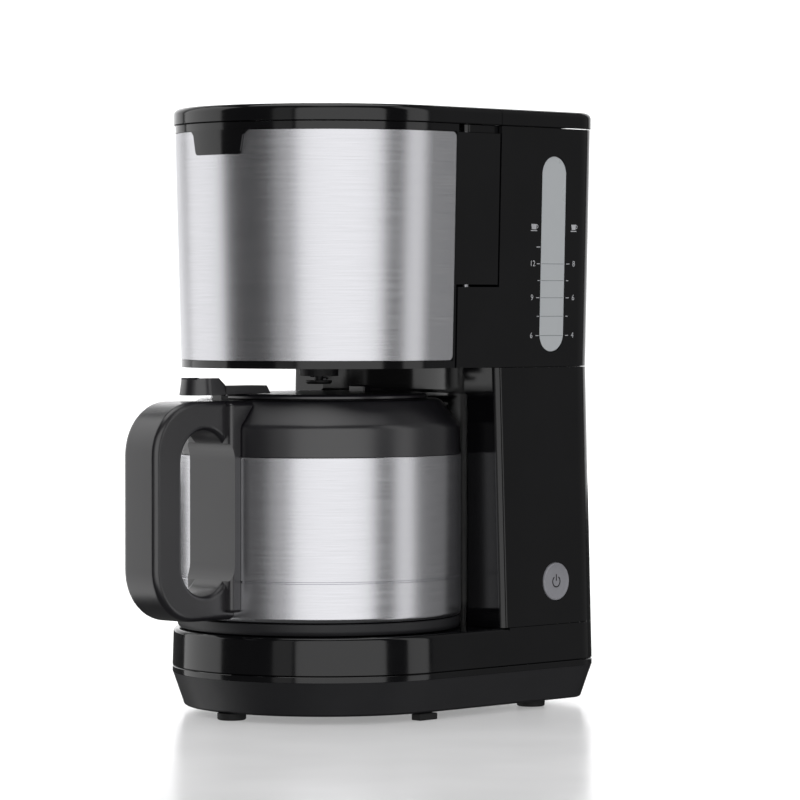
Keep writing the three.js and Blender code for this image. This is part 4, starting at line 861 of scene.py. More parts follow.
@dataclass
class Column:
    """Hollow column behind the carafe, with its button."""

    front_low: float = 54.5
    front_top: float = 54.0
    bay: float = 84.0
    neck_step: float = 2.0
    band: float = 14.0
    wing_edge: float = 4.0
    button: tuple[float, float, float] = (10.75, 99.5, 72.0)

    def _block(self, inset: float, low: float, high: float, name: str) -> Solid:
        """Column outline as a solid, without the bay.

        Args:
            inset: how far it is drawn in all round.
            low, high: heights of its underside and its top.
            name: object name.

        Returns:
            The solid.
        """
        rings = []
        for z in (low, high):
            part = (z - SIZES.column_low) / (SIZES.column_top - SIZES.column_low)
            front = self.front_low + (self.front_top - self.front_low) * part + inset
            half = SIZES.radius - SIZES.setback(z) - inset
            back, corner = SIZES.back - inset, SIZES.corner - inset
            edge = max(self.wing_edge - inset, 0.8)
            points = arc_points(-half + edge, front + edge, edge, 180, 270, 8)
            points += arc_points(half - edge, front + edge, edge, 270, 360, 8)
            points += arc_points(half - corner, back - corner, corner, 0, 90, 14)
            points += arc_points(-half + corner, back - corner, corner, 90, 180, 14)
            rings.append([(x, y, z) for x, y in points])
        return loft(name, rings)

    def build(self) -> None:
        """Builds the column and the button."""
        s = SIZES
        band_low = s.column_top - self.band
        shell = self._block(0, s.column_low, s.column_top, "column")

        def bay(extra: float, name: str) -> Solid:
            """Room for the carafe, stepped in at the neck."""
            r, n = self.bay + extra, self.bay - self.neck_step + extra
            return turned(
                name,
                [(0, 46), (r, 46), (r, band_low - 1.2), (n, band_low + 0.8), (n, 196), (0, 196)],
                192,
                s.carafe_y,
            )

        room = self._block(s.wall, 47.0, 195.0, "column_room").cut(bay(s.wall, "bay_back"))
        radius, y, z = self.button
        shell.cut(
            bay(0, "bay"), room, rod("button_hole", (60, y, z), (95, y, z), radius + 0.35, 96)
        )
        shell.shade(30).dress(
            FINISHES.get(Finishes.GLOSS), Body.CHASSIS, "gloss_black", ("column_shell",)
        )
        self._button()

    def _button(self) -> None:
        """Dished round cap with a raised on-off mark."""
        radius, y, z = self.button
        lo, hi = (tuple(v / MM for v in corner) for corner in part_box("power_button"))
        face, root = hi[0], lo[0]
        grey = FINISHES.get(Finishes.BUTTON)
        profile = [
            (0, root), (3, root), (3, root + 3), (radius + 1.8, root + 3.2),
            (radius + 1.8, root + 5.0), (radius, root + 5.0), (radius, face - 0.8),
            (radius - 0.25, face - 0.25), (radius - 0.9, face), (radius - 2.2, face - 0.35),
            (0, face - 0.5),
        ]
        cap = turned("button_cap", profile, 96)
        cap.object.data.transform(Matrix.Rotation(math.radians(90), 4, "Y"))
        cap.move(0, y, z).shade(30).dress(grey, Body.BUTTON, "button_grey", ("power_button",))
        # On-off mark: an open ring with a bar through its gap.
        ring = arc_points(0, 0, 3.4, 125, 415, 40)
        inner = arc_points(0, 0, 2.75, 415, 125, 40)
        dark = FINISHES.get(Finishes.MATTE)
        mark = extrude("button_ring", [(y + u, z + v) for u, v in ring + inner], face - 0.62, face - 0.3)
        mark.dress(dark, Body.BUTTON, "button_grey")
        bar = block("button_bar", (face - 0.62, y - 0.32, z + 0.4), (face - 0.3, y + 0.32, z + 4.2))
        bar.dress(dark, Body.BUTTON, "button_grey")


@dataclass
class Tank:
    """Tank housing behind the filter holder, its window and level marks."""

    lug_radius: float = 3.0
    lug_bore: float = 1.7
    knuckle_radius: float = 3.4
    pin_bore: float = 2.0
    window_y: float = 99.5
    window_half: float = 10.2
    window_low: float = 202.5
    window_high: float = 313.0
    pane_in: float = 0.45
    levels: tuple[tuple[float, str, str], ...] = (
        (252.2, "12", "8"),
        (242.7, "", ""),
        (233.0, "9", "6"),
        (222.5, "", ""),
        (211.6, "6", "4"),
    )

    def build(self) -> None:
        """Builds the housing, the window and the marks."""
        s = SIZES
        stop = s.leaf_end + 1.4
        housing = head_solid("tank_wall", s.head_low, s.head_top, 0)
        tank = loft(
            "tank_room",
            [plan(s.setback(s.tank_floor) + s.wall, s.wall, s.tank_floor, s.tank_front),
             plan(s.setback(s.head_top) + s.wall, s.wall, s.head_top + 1, s.tank_front)],
        )
        front_room = head_solid("front_room", s.head_low - 1, s.head_top + 1, s.wall)
        front_room.keep(block("front_part", (-FAR, -FAR, 0), (FAR, s.tank_front - s.wall, FAR)))
        under_room = head_solid("under_room", s.head_low - 1, s.head_top + 1, s.wall)
        under_room.keep(block("under_part", (-FAR, -FAR, 0), (FAR, FAR, s.tank_floor - s.wall)))
        housing.cut(
            block("ahead", (-FAR, -FAR, 0), (FAR, s.holder_end + 1.4, FAR)),
            front_room,
            block("leaf_room", (0, -FAR, s.side_top), (FAR, stop, FAR)),
            tank,
            under_room,
            self._slot("window_cut", 0.3, 40, FAR),
            rod("outlet", (40, 100, 190), (40, 100, 210), 1.8),
            block("riser_room", (-53, 57, 190), (-43, 62, 201.6)),
        )
        housing.soften(0.5, 2, 50)
        r, y, z = self.lug_radius, s.lid_pin_y, s.lid_pin_z
        for side in (-1, 1):
            x0, x1 = side * s.lug_x - 3, side * s.lug_x + 3
            lug = rod("lug", (x0, y, z), (x1, y, z), r)
            lug.join(block("lug_foot", (x0, y - r, s.head_top - 2), (x1, y + r, z)))
            lug.cut(rod("lug_bore", (x0 - 1, y, z), (x1 + 1, y, z), self.lug_bore))
            housing.join(lug)
        housing.join(*self._hinge_parts(stop))
        x, y = s.hinge_x, s.hinge_y
        housing.cut(rod("pin_bore", (x, y, 228), (x, y, 327.6), self.pin_bore))
        housing.shade(30).dress(
            FINISHES.get(Finishes.GLOSS), Body.CHASSIS, "gloss_black", ("tank_housing",)
        )
        self._window()
        self._marks()

    def _hinge_parts(self, stop: float) -> list[Solid]:
        """Fixed knuckle on the side panel and fixed arm over the leaf.

        Args:
            stop: Y at which the leaf's room ends.

        Returns:
            The two pieces, not yet joined to the housing.
        """
        s, r = SIZES, self.knuckle_radius
        x, y, top = s.hinge_x, s.hinge_y, s.side_top
        edge = s.radius - s.setback(top) - 1.2
        knuckle = rod("knuckle", (x, y, top - 9), (x, y, top), r)
        knuckle.join(block("knuckle_web", (x, y - 2, top - 9), (edge, y + 2, top)))
        low = s.head_top - 4
        arm = rod("arm_end", (x, y, low), (x, y, s.head_top), r)
        arm.join(
            block("arm", (x - r, y, low), (x + r, stop + 1, s.head_top)),
            block("arm_root", (x - r, stop, low), (x + 2, s.tank_front - 1, s.head_top)),
        )
        return [knuckle, arm]

    def _slot(self, name: str, extra: float, x0: float, x1: float) -> Solid:
        """Round-ended prism through the right wall.

        Args:
            name: object name.
            extra: how much it is larger than the window all round.
            x0, x1: its two ends.

        Returns:
            The solid.
        """
        half = self.window_half + extra
        points = arc_points(self.window_y, self.window_low + self.window_half, half, 180, 360, 32)
        points += arc_points(self.window_y, self.window_high - self.window_half, half, 0, 180, 32)
        return extrude(name, points, x0, x1)

    def _window(self) -> None:
        """Frosted pane set a little below the wall's face, with level lines printed on it."""
        s = SIZES
        pane = self._slot("water_pane", 0, 40, FAR)
        pane.keep(head_solid("pane_face", s.head_low, s.head_top, self.pane_in))
        pane.cut(head_solid("pane_back", s.head_low - 1, s.head_top + 1, s.wall + 0.4))
        clear = FINISHES.get(Finishes.WINDOW)
        pane.soften(0.3, 2).shade(40).dress(
            clear, Body.CHASSIS, "clear_window", ("water_window",)
        )
        ink = FINISHES.get(Finishes.PANE_INK)
        half = self.window_half - 0.8
        for index, (z, _, _) in enumerate(self.levels):
            line = block(f"pane_line_{index}", (60, self.window_y - half, z - 0.14),
                         (FAR, self.window_y + half, z + 0.14))
            line.keep(head_solid("line_face", s.head_low, s.head_top, self.pane_in - 0.04))
            line.cut(head_solid("line_back", s.head_low - 1, s.head_top + 1, self.pane_in + 0.05))
            line.dress(ink, Body.CHASSIS, "clear_window")

    def _marks(self) -> None:
        """Raised level lines beside the window, with plain numbers and two cup signs."""
        s, ink = SIZES, FINISHES.get(Finishes.INK)

        def lay(piece: Solid) -> None:
            """Wraps a mark thinly over the side wall and dresses it."""
            piece.keep(head_solid("mark_face", s.head_low, s.head_top, -0.06))
            piece.cut(head_solid("mark_back", s.head_low - 1, s.head_top + 1, 0.1))
            piece.dress(ink, Body.CHASSIS, "clear_window")

        for index, (z, left, right) in enumerate(self.levels):
            for tag, sign in (("left", -1), ("right", 1)):
                y0 = self.window_y + sign * (self.window_half + 1.0)
                y1 = y0 + sign * (2.6 if left else 1.8)
                low, high = sorted((y0, y1))
                lay(block(f"level_{index}_{tag}", (60, low, z - 0.22), (FAR, high, z + 0.22)))
            for tag, words, sign in (("left", left, -1), ("right", right, 1)):
                if words:
                    lay(self._number(f"number_{index}_{tag}", words, sign, z))
        top = block("level_full", (60, self.window_y - self.window_half - 4.2, 261.4),
                    (FAR, self.window_y - self.window_half - 1.0, 261.9))
        lay(top)
        low, high = 271.6, 274.6
        for tag, sign, width in (("cup", -1, 4.6), ("mug", 1, 4.0)):
            y = self.window_y + sign * (self.window_half + 6.6)
            left, right = y - width / 2, y + width / 2
            bowl = [(left, high), (left + 0.5, low), (right - 0.5, low), (right, high)]
            lay(extrude(f"sign_{tag}", bowl, 60, FAR))
            lay(block(f"sign_{tag}_foot", (60, left - 0.4, low - 1), (FAR, right + 0.4, low - 0.5)))
            ring = arc_points(right, 273.3, 1.2, -80, 80, 12)
            ring += arc_points(right, 273.3, 0.8, 80, -80, 12)
            lay(extrude(f"sign_{tag}_ear", ring, 60, FAR))

    def _number(self, name: str, words: str, sign: int, z: float) -> Solid:
        """A plain number as a prism along X, beside the window.

        Args:
            name: object name.
            words: the number.
            sign: -1 in front of the window, 1 behind it.
            z: height of its middle.

        Returns:
            The solid, long enough to pass through the right wall only.
        """
        curve = bpy.data.curves.new(name + "_text", "FONT")
        curve.body, curve.size, curve.extrude = words, 4.6 * MM, 20 * MM
        curve.align_x, curve.align_y, curve.resolution_u = "CENTER", "CENTER", 3
        text = bpy.data.objects.new(name + "_text", curve)
        bpy.context.scene.collection.objects.link(text)
        graph = bpy.context.evaluated_depsgraph_get()
        mesh = bpy.data.meshes.new_from_object(text.evaluated_get(graph))
        bpy.data.objects.remove(text)
        turn = Matrix.Rotation(math.radians(90), 4, "Z") @ Matrix.Rotation(math.radians(90), 4, "X")
        mesh.transform(turn)
        y = self.window_y + sign * (self.window_half + 7.2)
        mesh.transform(Matrix.Translation((80 * MM, y * MM, z * MM)))
        vertices = [tuple(c / MM for c in v.co) for v in mesh.vertices]
        faces = [tuple(p.vertices) for p in mesh.polygons]
        bpy.data.meshes.remove(mesh)
        return Solid(name, vertices, faces)


@dataclass
class Lids:
    """Fixed front cover and hinged tank lid, cut from one rounded shape."""

    side_in: float = 0.8
    edge: float = 3.6
    split: float = 53.5
    pin_radius: float = 1.4

    def _shape(self, name: str) -> Solid:
        """The rounded outside of both lids."""
        s = SIZES
        rings = [plan(self.side_in + 0.4, 0.8, s.lid_low), plan(self.side_in, 0.4, s.lid_low + 0.4)]
        low = s.lid_top - self.edge
        rings.append(plan(self.side_in, 0.4, low))
        for i in range(1, 11):
            angle = math.radians(84 * i / 10)
            inset = self.edge * (1 - math.cos(angle))
            rings.append(plan(self.side_in + inset, 0.4 + inset, low + self.edge * math.sin(angle)))
        rings.append(plan(self.side_in + self.edge + 8, 12.0, s.lid_top))
        return loft(name, rings)

    def _room(self, name: str) -> Solid:
        """The hollow under both lids."""
        s = SIZES
        inset = self.side_in + s.wall
        return loft(
            name,
            [plan(inset, s.wall, s.lid_low - 1), plan(inset, s.wall, s.lid_top - s.wall - 1),
             plan(inset + 1, s.wall + 1, s.lid_top - s.wall)],
        )

    def build(self) -> None:
        """Builds both lids."""
        s, gloss = SIZES, FINISHES.get(Finishes.GLOSS)
        cover = self._shape("front_cover")
        cover.keep(block("front_half", (-FAR, -FAR, 0), (FAR, self.split, FAR)))
        room = self._room("front_cover_room")
        room.keep(block("front_room_half", (-FAR, -FAR, 0), (FAR, self.split - s.wall, FAR)))
        cover.cut(room).shade(26).dress(gloss, Body.CHASSIS, "gloss_black", ("top_cover",))

        front = self.split + 0.4
        lid = self._shape("hinged_lid").keep(block("rear_half", (-FAR, front, 0), (FAR, FAR, FAR)))
        room = self._room("hinged_lid_room")
        room.keep(block("rear_room_half", (-FAR, front + s.wall, 0), (FAR, FAR, FAR)))
        lid.cut(room, block("heel", (-FAR, 136.2, 300), (FAR, FAR, 331.0)))
        for side in (-1, 1):
            middle = side * s.lug_x
            lid.cut(block("lug_room", (middle - 3.3, 135.2, 300), (middle + 3.3, FAR, 335.8)))
            for out in (-1, 1):
                low, high = sorted((middle + out * 3.3, middle + out * 7.3))
                lid.join(block("boss", (low, 137.5, 330.9), (high, 141.5, 336.8)))
            y, z = s.lid_pin_y, s.lid_pin_z
            lid.join(rod("lid_pin", (middle - 4.3, y, z), (middle + 4.3, y, z), self.pin_radius))
        lid.shade(26).dress(gloss, Body.TANK_LID, "gloss_black", ("tank_lid",))


@dataclass
class FilterHolder:
    """Swing-out holder: gloss shell with its leaf, steel panel and blank plaque."""

    trim: float = 4.0
    sheet: float = 0.9
    border: float = 1.4
    shell_wall: float = 2.2
    floor: float = 2.4
    floor_radius: float = 61.0
    nozzle_hole: float = 12.0
    hinge_room: float = 13.3
    shelf_drop: float = 9.3
    shelf_hole: float = 58.3
    knuckle: float = 9.0
    knuckle_radius: float = 3.4
    pin_bore: float = 2.0

    def build(self) -> None:
        """Builds the shell, the panel and the plaque."""
        self._shell()
        self._panel()
        self._plaque()

    def _between(self, outer: float, inner: float, low: float, high: float, name: str) -> Solid:
        """Wall between two insets of the head outline.

        Args:
            outer, inner: how far its two faces are drawn in.
            low, high: heights of its underside and its top.
            name: object name.

        Returns:
            The solid.
        """
        s = SIZES
        wall = head_solid(name, s.head_low, s.head_top, outer)
        wall.cut(head_solid(name + "_in", s.head_low - 1, s.head_top + 1, inner))
        return wall.keep(block(name + "_range", (-FAR, -FAR, low), (FAR, FAR, high)))

    def _shell(self) -> None:
        """Black shell: wall, trims, floor, shelf, leaf and knuckles."""
        s = SIZES
        inset = self.sheet + 0.3
        recess = self._between(-5, inset, s.head_low + self.trim, s.head_top - self.trim, "recess")
        recess.keep(block("recess_front", (-FAR, -FAR, 0), (FAR, s.holder_end - self.border, FAR)))
        shell = self._between(0, inset + self.shell_wall, s.head_low, s.head_top, "holder_wall")
        shell.cut(recess)
        shell.keep(block("holder_front", (-FAR, -FAR, 0), (FAR, s.holder_end, FAR)))
        within = head_solid("floor_wide", s.head_low, s.head_top, inset + self.shell_wall - 1)
        end, y, top = s.holder_end - 3, s.carafe_y, s.head_low + self.floor
        within.keep(block("floor_range", (-FAR, -FAR, s.head_low), (FAR, end, top)))
        within.join(rod("floor_disc", (0, y, s.head_low), (0, y, top), self.floor_radius, 128))
        x, pin_y = s.hinge_x, s.hinge_y
        within.cut(
            rod("nozzle_hole", (0, y, 190), (0, y, 200), self.nozzle_hole),
            rod("hinge_room", (x, pin_y, 190), (x, pin_y, 200), self.hinge_room),
        )
        shelf_top = s.head_top - self.shelf_drop
        shelf = head_solid("shelf", s.head_low, s.head_top, inset + self.shell_wall - 1)
        shelf.keep(block("shelf_range", (-FAR, -FAR, shelf_top - self.floor), (FAR, end, shelf_top)))
        shelf.cut(rod("shelf_hole", (0, y, 300), (0, y, 330), self.shelf_hole, 128))
        leaf_top = s.head_top - self.trim - 0.4
        leaf = self._between(0, s.wall, s.leaf_low, leaf_top, "leaf")
        leaf.keep(block("leaf_range", (0, s.holder_end - 1, 0), (FAR, s.leaf_end, FAR)))
        shell.join(within, shelf, leaf)
        shell.soften(0.4, 2, 50)
        for low in (s.leaf_low, leaf_top - self.knuckle):
            high = low + self.knuckle
            knuckle = rod("leaf_knuckle", (x, pin_y, low), (x, pin_y, high), self.knuckle_radius)
            edge = s.radius - s.setback(low) - 1
            knuckle.join(block("leaf_web", (x, pin_y - 2, low), (edge, pin_y + 2, high)))
            shell.join(knuckle)
            shell.cut(rod("leaf_bore", (x, pin_y, low - 1), (x, pin_y, high + 1), self.pin_bore))
        shell.object.name = "holder_body"
        shell.shade(30).dress(
            FINISHES.get(Finishes.GLOSS), Body.HOLDER, "gloss_black", ("holder_shell",)
        )

    def _panel(self) -> None:
        """Brushed sheet wrapped round the front, with rounded corners at its ends."""
        s = SIZES
        low, high = s.head_low + self.trim + 0.3, s.head_top - self.trim - 0.3
        panel = self._between(0, self.sheet, low, high, "brushed_sheet")
        end = s.holder_end - self.border - 0.3
        outline = rounded_polygon(
            [(-FAR, low, 0), (end, low, 3.0), (end, high, 3.0), (-FAR, high, 0)], 8
        )
        panel.keep(extrude("sheet_corners", outline, -FAR, FAR))
        panel.soften(0.25, 2, 50).shade(30).dress(
            FINISHES.get(Finishes.PANEL), Body.HOLDER, "brushed_panel", ("steel_front_panel",)
        )

    def _plaque(self) -> None:
        """Blank plaque that hangs from the top trim over the sheet."""
        s = SIZES
        high = s.head_top - self.trim - 0.1
        low, rim = high - 13.5, high - 2.4
        foot, shoulder, flare = 17.4, 19.6, 22.4
        outline = rounded_polygon(
            [(-foot, low, 2.6), (foot, low, 2.6), (shoulder, rim, 3.0), (flare, high, 0),
             (-flare, high, 0), (-shoulder, rim, 3.0)],
            8,
        )
        plaque = extrude("blank_plaque", outline, -FAR, 0, "Y")
        ring = head_solid("plaque_face", s.head_low, s.head_top, -1.4)
        ring.cut(head_solid("plaque_back", s.head_low - 1, s.head_top + 1, -0.3))
        plaque.keep(ring)
        plaque.soften(0.35, 2, 50).shade(30).dress(
            FINISHES.get(Finishes.GLOSS), Body.HOLDER, "gloss_black", ("badge_plate",)
        )


@dataclass
class Carafe:
    """Insulated carafe: steel shell, base ring, collar, lid, handle and thumb lever."""

    low: float = 48.0
    steel_low: float = 55.0
    steel_high: float = 145.5
    groove: float = 77.3
    spout_root: float = 62.4
    pivot: tuple[float, float] = (-82.0, 180.6)
    pivot_bore: float = 1.7
    handle_low: float = 56.6
    handle_high: float = 176.4
    handle_front: float = -142.5
    handle_back: float = -70.0
    handle_corner: float = 29.0
    handle_half: float = 13.25
    handle_edge: float = 3.4
    root_half: float = 18.0
    root_front: float = -91.0
    gap_y: float = -105.25
    gap_low: float = 70.4
    gap_high: float = 160.7
    gap_radius: float = 17.25
    lever_front: float = -109.0
    lever_back: float = -50.0
    lever_low: float = 179.5
    lever_half: float = 11.0
    dish_radius: float = 40.0
    shoulder: tuple[tuple[float, float], ...] = (
        (79.4, 145.8), (79.4, 160.3), (78.9, 162.0), (77.9, 163.7), (76.4, 165.3),
        (69.5, 174.6), (68.4, 175.8), (66.4, 176.6),
    )

    def build(self) -> None:
        """Builds every part of the carafe."""
        y, steel = SIZES.carafe_y, FINISHES.get(Finishes.CARAFE)
        charcoal = FINISHES.get(Finishes.CHARCOAL)
        r, g = SIZES.carafe_radius, self.groove
        shell = turned(
            "carafe_wall",
            [(0, self.steel_low), (r - 3, self.steel_low), (r - 1.2, self.steel_low + 0.5),
             (r - 0.3, self.steel_low + 1.7), (r, self.steel_low + 3), (r, g - 0.7), (r - 0.45, g - 0.3),
             (r - 0.45, g + 0.3), (r, g + 0.7), (r, self.steel_high - 0.6), (r - 0.3, self.steel_high),
             (r - 1, self.steel_high), (r - 1, self.steel_low + 4), (r - 4, self.steel_low + 1),
             (0, self.steel_low + 1)],
            192,
            y,
        )
        shell.shade(30).dress(steel, Body.CARAFE, "brushed_panel", ("carafe_shell",))
        base = turned(
            "carafe_foot_ring",
            [(0, 50), (59.6, 50), (59.6, self.low), (77, self.low), (78.6, self.low + 0.5),
             (79.4, self.low + 1.8), (79.6, self.low + 3), (79.6, 54.3), (79.2, 54.7), (0, 54.7)],
            160,
            y,
        )
        base.shade(30).dress(
            FINISHES.get(Finishes.MATTE), Body.CARAFE, "matte_black", ("carafe_base",)
        )
        collar = turned(
            "carafe_shoulder",
            [*self.shoulder, (48, 176.6), (48, 165.6), (71.5, 152.6), (77.4, 145.8)],
            192,
            y,
        )
        self._spout(collar, y)
        collar.shade(24).dress(charcoal, Body.CARAFE, "charcoal_matte", ("carafe_collar",))
        self._lid(charcoal, y)
        self._handle(charcoal, y)
        self._lever(charcoal)

    def _spout(self, collar: Solid, y: float) -> None:
        """Joins the pouring spout on to the collar and cuts its gutter."""

        def wedge(name: str, rows: Sequence[tuple[float, float, float, float]]) -> Solid:
            """Four-sided piece through rows of (half width, half tip width, tip, height)."""
            root = self.spout_root + y
            return loft(name, [
                [(-wide, root, z), (wide, root, z), (narrow, tip + y, z), (-narrow, tip + y, z)]
                for wide, narrow, tip, z in rows
            ])

        collar.join(wedge("spout", [(7, 1.5, 69.4, 167.6), (13, 3, 77.4, 175.6), (13, 3, 77.4, 176.6)]))
        collar.cut(wedge("gutter", [(9, 1, 73.4, 173.6), (11, 1.5, 79.4, 177.6)]))

    def _lid(self, charcoal: bpy.types.Material, y: float) -> None:
        """Screw-in lid with a hollow plug and a small catch at the back."""
        lid = turned(
            "carafe_cap",
            [(0, 179.7), (0, 176.9), (41.5, 176.9), (41.5, 160.9), (44, 160.9), (44, 176.9),
             (60.6, 176.9), (61, 177.3), (61, 178.4), (60.5, 179.1), (59.5, 179.6), (58.5, 179.7)],
            160,
            y,
        )
        lid.join(block("catch", (-6, 30 + y, 179.2), (6, 36 + y, 183.3)).soften(0.8))
        lid.shade(30).dress(charcoal, Body.CARAFE_LID, "charcoal_matte", ("carafe_lid",))

    def _handle(self, charcoal: bpy.types.Material, y: float) -> None:
        """Closed loop with well rounded edges and a wider root."""
        front, back, corner = self.handle_front, self.handle_back, self.handle_corner
        low, high, edge = self.handle_low, self.handle_high, self.handle_edge
        outline = rounded_polygon(
            [(front, low, corner), (back, low, 0), (back, high, 0), (front, high, corner)], 16
        )
        # Outer edge first: rounded in one step with the gap, it tore the left side face.
        loop = extrude("carafe_loop", outline, -self.handle_half, self.handle_half).soften(edge, 5, 50)
        r = self.gap_radius
        ends = arc_points(self.gap_y, self.gap_low + r, r, 180, 360, 28)
        ends += arc_points(self.gap_y, self.gap_high - r, r, 0, 180, 28)
        loop.cut(extrude("finger_gap", ends, -FAR, FAR))
        loop.soften(edge, 5, 50)
        half = self.root_half
        root = block("handle_root", (-half, self.root_front, low + 4), (half, back, high - 1))
        root.soften(2.2, 4, 50)
        root.cut(extrude("finger_gap_root", ends, -FAR, FAR))
        loop.join(root)
        envelope = turned(
            "carafe_envelope",
            [(0, 40), (80.4, 40), (80.4, 160.6), (79.6, 163.4), (77.2, 165.9), (70.2, 175.3),
             (66.8, 177.2), (0, 177.2)],
            160,
            y,
        )
        loop.cut(envelope)
        y, z = self.pivot
        lug = rod("lever_lug", (-3.5, y, z), (3.5, y, z), 2.6)
        lug.join(block("lug_foot", (-3.5, y - 2.6, high - 1), (3.5, y + 2.6, z)))
        loop.join(lug)
        loop.cut(rod("lever_bore", (-30, y, z), (30, y, z), self.pivot_bore))
        loop.shade(30).dress(charcoal, Body.CARAFE, "charcoal_matte", ("carafe_handle",))

    def _lever_plan(self, drawn: float, z: float) -> Ring:
        """Plan of the lever: round front, straight pad and a narrower arm.

        Args:
            drawn: how far the pad's sides are drawn in.
            z: height.

        Returns:
            Ring of points, anticlockwise from above.
        """
        radius, arm = self.lever_half - drawn, 7.0
        front, back = self.lever_front, self.lever_back
        pad_back = front + 21
        points = arc_points(0, front + self.lever_half, radius, 180, 360, 40)
        points += [(radius, pad_back), (arm, pad_back + 4), (arm, back)]
        points += [(-arm, back), (-arm, pad_back + 4), (-radius, pad_back)]
        return [(x, y, z) for x, y in points]

    def _lever(self, charcoal: bpy.types.Material) -> None:
        """Thumb lever with a round pad, a dish for the thumb and a straight arm."""
        front, low, back = self.lever_front, self.lever_low, self.lever_back
        pad_top, arm_top = low + 9.5, low + 5.0
        profile = rounded_polygon(
            [(front - 1, low, 0), (back, low + 0.5, 0.4), (back - 3, arm_top, 0.8),
             (front + 22, arm_top, 3.0), (front + 17, pad_top, 0.8), (front - 1, pad_top, 0)],
            6,
        )
        lever = loft("lever_arm", [self._lever_plan(0, low - 1), self._lever_plan(1.5, pad_top + 1)])
        lever.keep(extrude("lever_side", profile, -20, 20))
        lever.soften(0.6, 3, 50)
        middle, height = front + 9, pad_top + self.dish_radius - 1.4
        dish = rod(
            "thumb_dish", (-30, middle, height), (30, middle, height), self.dish_radius, 256
        )
        lever.cut(dish.keep(block("dish_width", (-6.5, front, low), (6.5, back, pad_top + 20))))
        y, z = self.pivot
        lever.cut(
            rod("arm_bore", (-5.3, y, z), (5.3, y, z), self.pivot_bore),
            rod("lug_turn", (-3.8, y, z), (3.8, y, z), 2.9),
            block("lug_way", (-3.8, y - 3.9, low - 1), (3.8, y + 3.9, z)),
        )
        lever.shade(30).dress(charcoal, Body.LEVER, "charcoal_matte", ("thumb_lever",))


@dataclass
class Inside:
    """CAD pieces that keep their own shape and only need a finish."""

    finishes: dict[str, tuple[str, ...]] = field(
        default_factory=lambda: {
            "SILICONE": ("riser_tube", "cold_hose", "heater_hose", "lid_gasket"),
            "WHITE": ("check_valve", "thermostat", "thermal_fuse", "switch_body"),
            "BOARD": ("control_board",),
            "CAST": ("flow_heater",),
            "INNER": (
                "shower_head", "heating_element", "carafe_liner", "hinge_pin_upper",
                "hinge_pin_lower", "lever_pin", "valve_spring", "base_screw_1", "base_screw_2",
                "base_screw_3", "base_screw_4",
            ),
            "MATTE": ("filter_basket", "drip_valve"),
            "RUBBER": ("cord_gland",),
        }
    )

    def dress(self) -> None:
        """Gives each shown CAD piece its finish."""
        for key, names in self.finishes.items():
            material = FINISHES.get(getattr(Finishes, key))
            for name in names:
                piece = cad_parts[name]
                piece.data.materials.clear()
                piece.data.materials.append(material)


